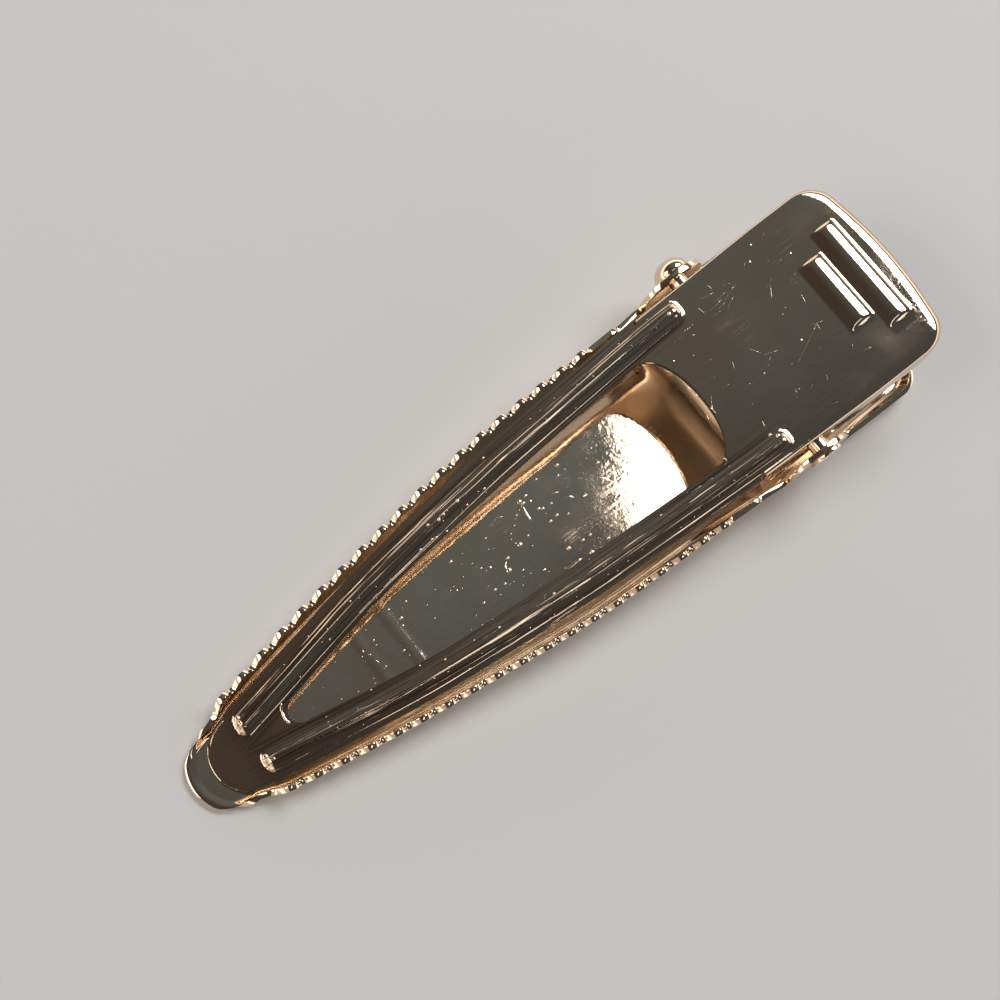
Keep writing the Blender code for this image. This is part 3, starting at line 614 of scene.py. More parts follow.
def flange_place(foot, out, height, lean, radius, k):
    """One step up the flange from its foot on the fold line: round the fold, then up the leaning wall."""
    run_up = radius * (1 - math.sin(lean))
    if k <= bend_steps:
        angle = (math.pi / 2 - lean) * k / bend_steps
        aside, up = radius * math.sin(angle), radius - radius * math.cos(angle)
    else:
        share = (k - bend_steps) / wall_steps
        rise = (height - run_up) * share
        aside, up = radius * math.cos(lean) + rise * math.tan(lean), run_up + rise
        up -= jaw_tip_edge_drop * smooth(-out.x) * share ** 4
    return Vector((foot.x + out.x * aside, foot.y + out.y * aside, sheet + up))


def build_jaw(material):
    """The toothed channel: a floor whose rim is folded up all round."""
    stations = jaw_stations()
    rows, half = len(stations), floor_columns
    bm, spots = lattice(rows, 2 * half + 1)
    first_x = stations[0][0].x
    last_place, last_out = stations[-1][0], stations[-1][1]
    rear_start = jaw_length - jaw_rear_corner_radius
    corner = (last_place.x - rear_start) / last_out.x
    rim = {}
    for i, (place, out, height, lean, radius) in enumerate(stations):
        for j in range(-half, half + 1):
            share = j / half
            y = place.y * share
            x = place.x
            # Rows bulge with the cap of the tip and with the rear edge, less and less away from them
            tip_angle = math.asin(max(-1.0, min(1.0, share * math.sin(cap_angle))))
            ahead = max(0.0, 1 - (place.x - first_x) / cap_fade)
            x += (tip_fold(tip_angle)[0].x - first_x) * ahead ** 2
            behind = max(0.0, 1 - (last_place.x - place.x) / cap_fade)
            over = max(0.0, abs(share) * last_place.y - (last_place.y - corner * last_out.y))
            bulge = rear_start + math.sqrt(corner * corner - over * over) - last_place.x
            x += bulge * behind ** 2
            vert = spots[i, j]
            vert.co = Vector((x - half_clip, y, sheet + grip_rib_lift(x, y)))
            if i == 0 and abs(j) < half:
                rim[vert] = tip_fold(tip_angle)[1:]
            elif i == rows - 1 and abs(j) < half:
                turn = math.copysign(math.asin(min(1.0, over / corner)), y)
                rim[vert] = (Vector((math.cos(turn), math.sin(turn), 0)), height, lean, radius)
            elif abs(j) == half:
                rim[vert] = (Vector((out.x, math.copysign(out.y, j), 0)), height, lean, radius)
    chain = [spots[i, half] for i in range(rows)]
    chain += [spots[rows - 1, j] for j in range(half - 1, -half - 1, -1)]
    chain += [spots[i, -half] for i in range(rows - 2, -1, -1)]
    chain += [spots[0, j] for j in range(-half + 1, half)]
    feet = [(vert.co.copy(), *rim[vert]) for vert in chain]
    for k in range(1, bend_steps + wall_steps + 1):
        places = [flange_place(*foot, k) for foot in feet]
        chain = extrude_rim(bm, chain, places, closed=True)
    bm.normal_update()
    thicken(bm, sheet, tumbled_edge_bevel)
    jaw = finished("plated_lower_jaw", bm, material, "jaw", "lower_jaw")
    bored(jaw, pin_radius + pin_seat_gap)
    weigh_normals(jaw)


# Lever arm
def arm_world(s, y, h):
    """A point of the arm: s along it from its tip, y across, h above its underside."""
    x = arm_tip_x + s * math.cos(arm_rise_angle) - h * math.sin(arm_rise_angle)
    z = arm_tip_z + s * math.sin(arm_rise_angle) + h * math.cos(arm_rise_angle)
    return Vector((x - half_clip, y, z))


def arm_half(s):
    """Half width of the arm at s, its round tip included."""
    if s < arm_tip_radius:
        return math.sqrt(max(0.0, arm_tip_radius ** 2 - (arm_tip_radius - s) ** 2))
    return arm_half_width * between(arm_side_shares, s / arm_length)


def window_half(s):
    """Half width of the window at s, its round ends left out."""
    return arm_half_width * between(window_side_shares, s / arm_length)


def rib_lift(s, y):
    """Height of the stiffening rib over the sheet at a place on the arm."""
    inside = arm_half(s) - abs(y)
    if inside >= rib_crest_in:
        across = (inside - rib_crest_in) / (rib_inner_foot_in - rib_crest_in)
    else:
        across = (rib_crest_in - inside) / (rib_crest_in - rib_foot_in)
    along = 0.0
    if s < rib_front + rib_end_radius:
        along = (rib_front + rib_end_radius - s) / rib_end_radius
    elif s > rib_rear - rib_end_radius:
        along = (s - rib_rear + rib_end_radius) / rib_end_radius
    return rib_height * eased(1 - math.hypot(across, along), rib_ease_share)


def ridge_lift(s, y):
    """Height of the two finger ridges on the pad."""
    lift = 0.0
    ridges = ((short_ridge_at, short_ridge_half_length), (long_ridge_at, long_ridge_half_length))
    for at, half_length in ridges:
        across = (at - s) / ridge_front_width if s < at else (s - at) / ridge_rear_width
        along = max(0.0, (abs(y) - half_length + ridge_end) / ridge_end)
        if across < 1 and along < 1:
            end = math.cos(math.pi / 2 * along) ** ridge_end_roundness
            lift = max(lift, ridge_height * (1 - across ** 2) * end)
    return lift


def droop(s):
    """How far the tip's end droops at s."""
    return tip_droop * max(0.0, 1 - s / tip_droop_length) ** 2


def arm_face(s, y):
    """A point of the arm's upper face."""
    return arm_world(s, y, sheet + rib_lift(s, y) + ridge_lift(s, y) - droop(s))


def fold_half(s):
    """Half width of the pad's flat face at s, up to where its skirt folds down."""
    if s < corner_s:
        return arm_half(s) - skirt_fold_radius
    return corner_y + math.sqrt(max(0.0, pad_corner_radius ** 2 - (s - corner_s) ** 2))


def arm_columns(s):
    """Distances of one row's columns from the middle: window, rib and margin ahead, ridges on the pad."""
    half = arm_half(s)
    scale = min(1.0, half / tip_column_radius)
    foot = half - rib_inner_foot_in * scale
    limit = foot - window_rib_gap if s > window_front else foot * window_tip_share
    opening = min(window_half(s), limit)
    rail = [opening * math.sin(math.pi / 2 * k / window_columns) for k in range(window_columns + 1)]
    rail += spread(opening, (foot, 2), (half - rib_crest_in * scale, 7), (half - rib_foot_in * scale, 7))
    short, long = short_ridge_half_length, long_ridge_half_length
    pad = [0.0] + spread(
        0.0, (short - ridge_end, 8), (short, 5), (long - ridge_end, 3), (long, 5), (fold_half(s), 4))
    ahead = short_ridge_at - ridge_front_width - rib_rear
    blend = smooth((s - rib_rear - rib_end_lead) / ahead)
    return [a * (1 - blend) + b * blend for a, b in zip(rail, pad)]


def bowed(s, y, tip_s, open_at, close_at):
    """How far a point of the straight row at s moves along the arm, for rows that follow the round ends."""
    shift = 0.0
    near_tip = max(0.0, 1 - (s - tip_s) / tip_bow_reach)
    if near_tip:
        reach = y / arm_half(s) * math.sqrt(arm_tip_radius ** 2 - (arm_tip_radius - tip_s) ** 2)
        shift -= (tip_s - arm_tip_radius + math.sqrt(arm_tip_radius ** 2 - reach ** 2)) * near_tip ** 2
    narrow, wide = window_half(0.0), window_half(close_at)
    ahead = (open_at - s) / (window_front_reach * narrow)
    if 0 <= ahead < 1 and abs(y) < narrow:
        shift -= narrow * (1 - ahead) * (1 - (y / narrow) ** 2) ** (0.5 + 0.5 * ahead)
    behind = (s - close_at) / window_rear_reach
    if 0 <= behind < 1 and abs(y) < wide:
        bow = window_rear_bow * (1 - window_rear_skew * smooth(-y / wide))
        flatter = 0.5 + 0.5 * min(1.0, 3 * behind)
        shift += bow * (1 - behind) ** window_rear_falloff * (1 - (y / wide) ** 2) ** flatter
    return shift


def arm_stations(tip_s, open_at, close_at):
    """Places along the arm of its rows, with one at each place where the shape turns."""
    first_ridge = short_ridge_at - ridge_front_width
    stops = [
        tip_s, arm_tip_radius, rib_front + rib_end_radius, open_at, close_at, skirt_start - skirt_slit,
        skirt_start, rib_rear, first_ridge, short_ridge_at, short_ridge_at + ridge_rear_width,
        long_ridge_at - ridge_front_width, long_ridge_at, long_ridge_at + ridge_rear_width,
    ]
    rows = [tip_s]
    for a, b in zip(stops, stops[1:]):
        step = fine_cell if a >= first_ridge or b <= rib_front + 2 * rib_end_radius else cell
        rows += spread(a, (b, max(1, math.ceil((b - a) / step))))
    return rows


def arm_plan(rows, tip_s, open_at, close_at):
    """Place along and across the arm for each point of its grid, which ends on the rear fold line."""
    edge = arm_columns_from_middle
    plan = {}
    for i, s in enumerate(rows):
        for j, y in enumerate(arm_columns(s)):
            for side in (-1, 1):
                plan[i, side * j] = (s + bowed(s, y, tip_s, open_at, close_at), side * y)
    # The rearmost row runs along the rear fold line, with a few rows between
    end_y = corner_y + pad_corner_radius * math.cos(pad_last_angle)
    base = arm_columns(rows[-1])
    for j, y in enumerate(base):
        to_y = end_y * y / base[-1]
        if to_y > corner_y:
            to_s = corner_s + math.sqrt(pad_corner_radius ** 2 - (to_y - corner_y) ** 2)
        else:
            to_s = corner_s + pad_corner_radius + pad_rear_bow * (1 - (to_y / corner_y) ** 2)
        for n in range(1, pad_rear_rows + 1):
            share = n / pad_rear_rows
            if j == edge:
                start = math.asin((rows[-1] - corner_s) / pad_corner_radius)
                angle = start + (pad_last_angle - start) * share
                ahead, aside = pad_corner_radius * math.sin(angle), pad_corner_radius * math.cos(angle)
                spot = (corner_s + ahead, corner_y + aside)
            else:
                spot = (rows[-1] + (to_s - rows[-1]) * share, y + (to_y - y) * share)
            for side in (-1, 1):
                plan[len(rows) - 1 + n, side * j] = (spot[0], side * spot[1])
    return plan


def skirt_place(s, y, k):
    """One step down the pad's skirt from its fold line: round the fold, then down the flared wall."""
    out = Vector((max(0.0, s - corner_s), math.copysign(max(0.0, abs(y) - corner_y), y)))
    out.normalize()
    turned = out.x ** 2
    radius = skirt_fold_radius * (1 - turned) + skirt_rear_fold_radius * turned
    front = smooth((s - skirt_start + skirt_round_ahead) / skirt_round_length)
    back = smooth((s - pivot_s - skirt_lobe_half) / skirt_lobe_fade)
    depth = skirt_pin_depth * (1 - back) + skirt_rear_depth * back
    depth = skirt_front_depth * (1 - front) + depth * front
    flare = skirt_pin_flare * (1 - back) + skirt_rear_flare * back
    if k <= bend_steps:
        angle = math.pi / 2 * k / bend_steps
        aside, up = radius * math.sin(angle), sheet - radius + radius * math.cos(angle)
    else:
        share = (k - bend_steps) / wall_steps
        aside, up = radius + flare * share, sheet - radius - (depth - radius) * share
    return arm_world(s + out.x * aside, y + out.y * aside, up)


def finish_arm(arm, inner):
    """Gives the arm its thinly plated underside, and its map of places along it and in from its edge."""
    arm.data.materials.append(inner)
    lean = Vector((-math.sin(arm_rise_angle), 0, math.cos(arm_rise_angle)))
    for face in arm.data.polygons:
        if face.normal.dot(lean) < underside_lean:
            face.material_index = 1
    layout = arm.data.uv_layers.new(name="along and in from the edge")
    for loop in arm.data.loops:
        place = arm.data.vertices[loop.vertex_index].co
        run, rise = place.x + half_clip - arm_tip_x, place.z - arm_tip_z
        s = run * math.cos(arm_rise_angle) + rise * math.sin(arm_rise_angle)
        layout.data[loop.index].uv = (s, arm_half(max(0.0, s)) - abs(place.y))


def build_arm(material, inner):
    """The inclined top plate: window cut out, a flat margin ahead, a skirt folded down round the pad."""
    tip_s = arm_tip_radius * (1 - math.cos(tip_row_angle))
    open_at = window_front + window_half(0.0)
    close_at = window_rear - window_rear_bow
    rows = arm_stations(tip_s, open_at, close_at)
    edge = arm_columns_from_middle
    count = len(rows) + pad_rear_rows
    bm, spots = lattice(count, 2 * edge + 1)
    plan = arm_plan(rows, tip_s, open_at, close_at)
    for key, (s, y) in plan.items():
        spots[key].co = arm_face(s, y)
    doomed = []
    for i in range(rows.index(open_at), rows.index(close_at)):
        for j in range(-window_columns, window_columns):
            doomed += set(spots[i, j].link_faces) & set(spots[i + 1, j + 1].link_faces)
    bmesh.ops.delete(bm, geom=doomed, context="FACES")
    row_slit, row_skirt = rows.index(skirt_start - skirt_slit), rows.index(skirt_start)
    for side in (-1, 1):
        chain = [spots[i, side * edge] for i in range(row_slit + 1)]
        along = [plan[i, edge][0] for i in range(row_slit + 1)]
        extrude_rim(bm, chain, [arm_world(s, side * arm_half(s), sheet - droop(s)) for s in along])
    keys = [(i, edge) for i in range(row_skirt, count)]
    keys += [(count - 1, j) for j in range(edge - 1, -edge, -1)]
    keys += [(i, -edge) for i in range(count - 1, row_skirt - 1, -1)]
    chain = [spots[key] for key in keys]
    for k in range(1, bend_steps + wall_steps + 1):
        chain = extrude_rim(bm, chain, [skirt_place(*plan[key], k) for key in keys])
    bm.normal_update()
    thicken(bm, sheet, cut_edge_bevel)
    arm = finished("plated_lever_arm", bm, material, "arm", "lever_arm")
    bored(arm, pin_radius + pin_running_gap)
    finish_arm(arm, inner)
    weigh_normals(arm)


# Leaf spring
def leaf_path():
    """Middle line of the leaf in side view, from the upper foot round the pin to the lower foot."""
    radius = leaf_bend_radius + leaf / 2
    upper = arm_world((leaf_upper_foot - arm_tip_x) / math.cos(arm_rise_angle), 0.0, 0.0)
    upper_z = upper.z - leaf_foot_gap - leaf / 2
    lower_z = sheet + leaf_foot_gap + leaf / 2
    start = math.pi / 2 + math.atan2(upper_z - (pivot_z + radius), leaf_upper_foot - pivot_x)
    end = 3 * math.pi / 2 - math.atan2(pivot_z - radius - lower_z, leaf_lower_foot - pivot_x)
    run = leaf_foot_length
    toe, heel = leaf_toe_share * leaf_foot_lift, leaf_heel_share * leaf_foot_lift
    path = [
        (leaf_upper_foot + run, upper_z - leaf_foot_lift), (leaf_upper_foot + run / 2, upper_z - toe),
        (leaf_upper_foot, upper_z), (leaf_upper_foot - run, upper_z - heel),
    ]
    for n in range(leaf_turns + 1):
        angle = start + (end - start) * n / leaf_turns
        path.append((pivot_x + radius * math.cos(angle), pivot_z + radius * math.sin(angle)))
    path += [
        (leaf_lower_foot - run, lower_z + heel), (leaf_lower_foot, lower_z),
        (leaf_lower_foot + run / 2, lower_z + toe), (leaf_lower_foot + run, lower_z + leaf_foot_lift),
    ]
    path = [Vector((x - half_clip, 0, z)) for x, z in path]
    even = [path[0]]
    for a, b in zip(path, path[1:]):
        count = math.ceil((b - a).length / leaf_step)
        even += [a.lerp(b, n / count) for n in range(1, count + 1)]
    return threaded(even, 2)


def build_spring(material):
    """The flat strip bent round the pin."""
    path = leaf_path()
    far = len(path) - 1
    half = leaf_columns
    bm, spots = lattice(len(path), 2 * half + 1)
    for i, place in enumerate(path):
        run = (path[min(i + 1, far)] - path[max(i - 1, 0)]).normalized()
        outward = Vector((-run.z, 0, run.x))
        end = min((place - path[0]).length, (place - path[far]).length, leaf_corner)
        width = leaf_half_width - leaf_corner + math.sqrt(leaf_corner ** 2 - (leaf_corner - end) ** 2)
        for j in range(-half, half + 1):
            spots[i, j].co = place + outward * leaf / 2 + Vector((0, width * j / half, 0))
    bm.normal_update()
    thicken(bm, leaf, leaf / 6)
    spring = finished("plated_leaf_spring", bm, material, None, "leaf_spring")
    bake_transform(spring)
    weigh_normals(spring)


# Rivet pin
def build_pin(material):
    """A domed head with a thin rim on one side, a flat upset head on the other."""
    outer = jaw_half_width + head_gap
    dome = dome_height - dome_rim
    profile = [(0.0, outer + dome_height)]
    for n in range(1, dome_rings + 1):
        angle = math.pi / 2 * n / dome_rings
        profile.append((dome_radius * math.sin(angle), outer + dome_rim + dome * math.cos(angle)))
    profile += [
        (dome_radius - dome_rim_round, outer + dome_rim / 3),
        (dome_foot_radius + dome_rim_round, outer + pin_edge_round), (dome_foot_radius, outer),
        (pin_radius + pin_edge_round, outer), (pin_radius, outer - pin_edge_round),
        (pin_radius, pin_edge_round - outer), (pin_radius + pin_edge_round, -outer),
    ]
    for corner, sign in ((-outer - button_chamfer, 1), (-outer - button_height + button_chamfer, -1)):
        for n in range(button_rings + 1):
            angle = math.pi / 2 * (n / button_rings if sign > 0 else 1 - n / button_rings)
            radius = button_radius - button_chamfer * (1 - math.sin(angle))
            profile.append((radius, corner + sign * button_chamfer * math.cos(angle)))
    profile += [(button_face_radius, -outer - button_height), (0.0, -outer - button_height)]
    bm = bmesh.new()
    axis_x = pivot_x - half_clip
    verts = [bm.verts.new((axis_x + radius, y, pivot_z)) for radius, y in profile]
    edges = [bm.edges.new(pair) for pair in zip(verts, verts[1:])]
    bmesh.ops.spin(
        bm, geom=verts + edges, cent=(axis_x, 0, pivot_z), axis=(0, 1, 0), angle=2 * math.pi,
        steps=pin_turns, use_merge=True)
    bmesh.ops.remove_doubles(bm, verts=bm.verts[:], dist=merged_within)
    bmesh.ops.recalc_face_normals(bm, faces=bm.faces[:])
    pin = finished("plated_rivet_pin", bm, material, "jaw", "rivet_pin")
    weigh_normals(pin)


# Droplets and runs of lacquer, scratches and burrs
def threaded(points, steps):
    """Points of an even curve through the given ones."""
    ends = [points[0]] + list(points) + [points[-1]]
    path = []
    for a, b, c, d in zip(ends, ends[1:], ends[2:], ends[3:]):
        for n in range(steps):
            t = n / steps
            path.append(b + (c - a) * (t / 2) + (2 * a - 5 * b + 4 * c - d) * (t * t / 2)
                        + (3 * b - a - 3 * c + d) * (t ** 3 / 2))
    return path + [points[-1]]


def on_jaw(x, y):
    """A point of the jaw's floor, x and y in millimetres from the middle of the clip."""
    return Vector((x * mm, y * mm, sheet + grip_rib_lift(x * mm + half_clip, y * mm)))


def on_arm(s, y):
    """A point of the arm's upper face, in millimetres along it from its tip and across it."""
    return arm_face(s * mm, y * mm)


def add_run(bm, points, width, steps=3):
    """A raised run with thin ends that follows a path."""
    path = threaded(points, steps)
    far = len(path) - 1
    rings = []
    for n, place in enumerate(path):
        run = (path[min(n + 1, far)] - path[max(n - 1, 0)]).normalized()
        side = run.cross(Vector((0, 0, 1)))
        waver = 1 - run_waver + run_waver * math.cos(run_waver_turn * n)
        radius = width * (run_end if n in (0, far) else waver)
        ring = []
        for k in range(run_sides):
            angle = 2 * math.pi * k / run_sides
            up = drop_flatness * radius * math.sin(angle) - run_sink * radius
            ring.append(place + side * radius * math.cos(angle) + Vector((0, 0, up)))
        rings.append(ring)
    chain = bmesh.ops.create_circle(bm, segments=run_sides, radius=width)["verts"]
    for vert, place in zip(chain, rings[0]):
        vert.co = place
    first = chain
    for ring in rings[1:]:
        chain = extrude_rim(bm, chain, ring, closed=True)
    for ends in (first, chain):
        bmesh.ops.contextual_create(bm, geom=ends)


def build_relief(name, body, drops, runs, material):
    """Droplets as (place, radius) and runs as (width, places) on a surface, as one piece."""
    bm = bmesh.new()
    flat = Matrix.Diagonal((1, 1, drop_flatness, 1))
    for place, radius in drops:
        bmesh.ops.create_icosphere(
            bm, subdivisions=2, radius=radius, matrix=Matrix.Translation(place) @ flat)
    for width, places in runs:
        add_run(bm, places, width)
    bmesh.ops.recalc_face_normals(bm, faces=bm.faces[:])
    relief = finished(name, bm, material, body)


def scattered(count, low, high, place, allowed):
    """Small droplets strewn at random over a range of places, kept to where they may lie."""
    drops = []
    while len(drops) < count:
        a, b = random.uniform(low[0], high[0]), random.uniform(low[1], high[1])
        if allowed(a, b):
            drops.append((place(a, b), random.uniform(*strewn_radius) * mm))
    return drops


def on_bare_floor(x, y):
    """Whether a place of the floor lies in the wedge that the strewn droplets keep to."""
    return abs(y) < floor_front_half + floor_widening * (x - strewn_on_floor[0][0])


def on_rail(s, y):
    """Whether a place of the arm lies on the rails beside the window."""
    inside = arm_half(s * mm) - abs(y) * mm
    return rib_foot_in < inside < rib_inner_foot_in + strewn_past_rib


def build_lacquer(material):
    """The lacquer's droplets and runs, and the scratches and burrs of the arm."""
    random.seed(strewn_seed)
    drops = [(on_jaw(x, y), jaw_drop_spread * radius * mm) for x, y, radius in jaw_drops]
    drops += scattered(strewn_drops, *strewn_on_floor, on_jaw, on_bare_floor)
    runs = [(jaw_run_spread * width * mm, [on_jaw(*spot) for spot in spots]) for width, *spots in jaw_runs]
    build_relief("lacquer_drops_on_jaw", "jaw", drops, runs, material)
    drops = [(on_arm(s, y), arm_drop_spread * radius * mm) for s, y, radius in arm_drops]
    drops += scattered(strewn_drops, *strewn_on_rails, on_arm, on_rail)
    runs = [(width * mm, [on_arm(*spot) for spot in spots]) for width, *spots in arm_runs]
    build_relief("lacquer_drops_on_arm", "arm", drops, runs, material)
    runs = [(hairline, [on_arm(*spot) for spot in spots]) for spots in arm_scratches]
    for _ in range(strewn_scratches):
        s, y = random.uniform(*scratches_along), random.uniform(*scratches_across)
        turn, length = random.uniform(*scratch_turn), random.uniform(*scratch_length)
        if s > window_end or abs(y) > window_side:
            ends = [on_arm(s, y), on_arm(s + length * math.cos(turn), y + length * math.sin(turn))]
            runs.append((scratch_width_share * hairline, ends))
    build_relief("scratches_on_arm", "arm", [], runs, material)


# Finishes
def linear(code):
    """An sRGB hex colour as linear numbers."""
    parts = [int(code[n:n + 2], 16) / 255 for n in (1, 3, 5)]
    return tuple(c / 12.92 if c <= 0.04045 else ((c + 0.055) / 1.055) ** 2.4 for c in parts) + (1.0,)


def node(tree, kind, inputs=None, **settings):
    """Adds a shader node with its settings, its input values and its links."""
    made = tree.nodes.new(kind)
    for name, value in settings.items():
        setattr(made, name, value)
    for name, value in (inputs or {}).items():
        socket = made.inputs[name]
        if isinstance(value, bpy.types.NodeSocket):
            tree.links.new(value, socket)
        else:
            socket.default_value = value
    return made


def sum_of(tree, *parts):
    """The sum of several (output, factor) pairs."""
    total = None
    for output, factor in parts:
        item = node(tree, "ShaderNodeMath", {0: output, 1: factor}, operation="MULTIPLY").outputs[0]
        if total:
            item = node(tree, "ShaderNodeMath", {0: total, 1: item}, operation="ADD").outputs[0]
        total = item
    return total


def between_ends(tree, value, *ends):
    """1 between the inner ends of a range, falling to 0 at its outer ends."""
    ramps = []
    for outer, inner in ((ends[0], ends[1]), (ends[3], ends[2])):
        ramp = node(tree, "ShaderNodeMapRange", {
            "Value": value, "From Min": outer, "From Max": inner}, interpolation_type="SMOOTHSTEP")
        ramps.append(ramp.outputs["Result"])
    return node(tree, "ShaderNodeMath", {0: ramps[0], 1: ramps[1]}, operation="MULTIPLY").outputs[0]


def line_at(tree, value, place, inner, outer, strength=1.0):
    """A line where a value meets a place, at its strength up to inner away from it and gone at outer."""
    off = node(tree, "ShaderNodeMath", {0: value, 1: place}, operation="SUBTRACT").outputs[0]
    off = node(tree, "ShaderNodeMath", {0: off}, operation="ABSOLUTE").outputs[0]
    return node(tree, "ShaderNodeMapRange", {
        "Value": off, "From Min": inner, "From Max": outer, "To Min": strength,
        "To Max": 0.0}).outputs["Result"]


def hairline_scratches(tree, spot):
    """Hairline scratches 0.08 mm wide and 1 mm apart in three directions, in patches."""
    patches = node(tree, "ShaderNodeTexNoise", {"Vector": spot, "Scale": 0.22, "Detail": 1.0}).outputs["Fac"]
    scratched = node(tree, "ShaderNodeMapRange", {
        "Value": patches, "From Min": 0.60, "From Max": 0.72}).outputs["Result"]
    hairs = None
    for turn in hairline_turns:
        way = node(tree, "ShaderNodeMapping", {
            "Vector": spot, "Rotation": (0, 0, math.radians(turn)),
            "Scale": (0.06, 1.0, 0.06)}).outputs["Vector"]
        wave = node(tree, "ShaderNodeTexNoise", {"Vector": way, "Scale": 1.0, "Detail": 0.0}).outputs["Fac"]
        hair = line_at(tree, wave, 0.5, 0.01, 0.03)
        hairs = node(tree, "ShaderNodeMath", {
            0: hairs, 1: hair}, operation="MAXIMUM").outputs[0] if hairs else hair
    return node(tree, "ShaderNodeMath", {0: hairs, 1: scratched}, operation="MULTIPLY").outputs[0]


def lacquer_dust(tree, spot):
    """Dust under the lacquer, specks of 0.1 to 0.2 mm."""
    cells = node(tree, "ShaderNodeTexVoronoi", {"Vector": spot, "Scale": 0.9})
    size = node(tree, "ShaderNodeSeparateColor", {"Color": cells.outputs["Color"]}).outputs["Red"]
    size = node(tree, "ShaderNodeMapRange", {
        "Value": size, "From Min": 0.6, "From Max": 1.0, "To Min": 0.0, "To Max": 0.13}).outputs["Result"]
    return node(tree, "ShaderNodeMapRange", {
        "Value": cells.outputs["Distance"], "From Min": 0.0, "From Max": size, "To Min": 1.0, "To Max": 0.0},
        interpolation_type="SMOOTHSTEP").outputs["Result"]


def drawn_rib_marks(tree, layout, spot, lines):
    """Marks where the rib was drawn up, from the map of places along the part and in from its edge.

    The creases are small steps that waver and break off, each with a dark line of painted shade beside it,
    and thin drawing streaks darken the rails over them. Gives where the rails are, the heights of the
    creases, and the mask of painted crease shade and darker streaks.
    """
    parts = node(tree, "ShaderNodeSeparateXYZ", {"Vector": layout})
    inside = parts.outputs["Y"]
    rail = between_ends(tree, parts.outputs["X"], *marks_front, *marks_rear)
    within = between_ends(tree, inside, *marks_across)
    rail = node(tree, "ShaderNodeMath", {0: rail, 1: within}, operation="MULTIPLY").outputs[0]
    waver = node(tree, "ShaderNodeTexNoise", {"Vector": spot, "Scale": 0.45, "Detail": 2.0}).outputs["Fac"]
    inside = sum_of(tree, (inside, per_metre), (waver, 0.5))
    broken = node(tree, "ShaderNodeMapRange", {
        "Value": lines, "From Min": 0.46, "From Max": 0.6}).outputs["Result"]
    creases, crease_shade_and_streaks = [], None
    for place, step in rib_creases:
        crease = node(tree, "ShaderNodeMapRange", {
            "Value": inside, "From Min": place - crease_half_width, "From Max": place + crease_half_width},
            interpolation_type="SMOOTHSTEP").outputs["Result"]
        for part in (rail, broken):
            crease = node(tree, "ShaderNodeMath", {0: crease, 1: part}, operation="MULTIPLY").outputs[0]
        creases.append((crease, step))
        # A line of painted shade just past each crease
        line = line_at(tree, inside, place + crease_shade_past, *crease_shade_widths, crease_shade_share)
        crease_shade_and_streaks = node(tree, "ShaderNodeMath", {
            0: crease_shade_and_streaks, 1: line}, operation="MAXIMUM").outputs[0] if crease_shade_and_streaks else line
    crease_shade_and_streaks = node(tree, "ShaderNodeMath", {0: crease_shade_and_streaks, 1: broken}, operation="MULTIPLY").outputs[0]
    # Drawing streaks, 0.2 mm apart and 20 mm long
    fine = node(tree, "ShaderNodeMapping", {"Vector": layout, "Scale": (50, 5200, 1)}).outputs["Vector"]
    fine = node(tree, "ShaderNodeTexNoise", {"Vector": fine, "Scale": 1.0, "Detail": 3.0}).outputs["Fac"]
    streaks = node(tree, "ShaderNodeMapRange", {
        "Value": fine, "From Min": 0.46, "From Max": 0.7, "To Min": 0.0, "To Max": 0.85}).outputs["Result"]
    crease_shade_and_streaks = node(tree, "ShaderNodeMath", {0: crease_shade_and_streaks, 1: streaks}, operation="MAXIMUM").outputs[0]
    crease_shade_and_streaks = node(tree, "ShaderNodeMath", {0: crease_shade_and_streaks, 1: rail}, operation="MULTIPLY").outputs[0]
    return rail, creases, crease_shade_and_streaks


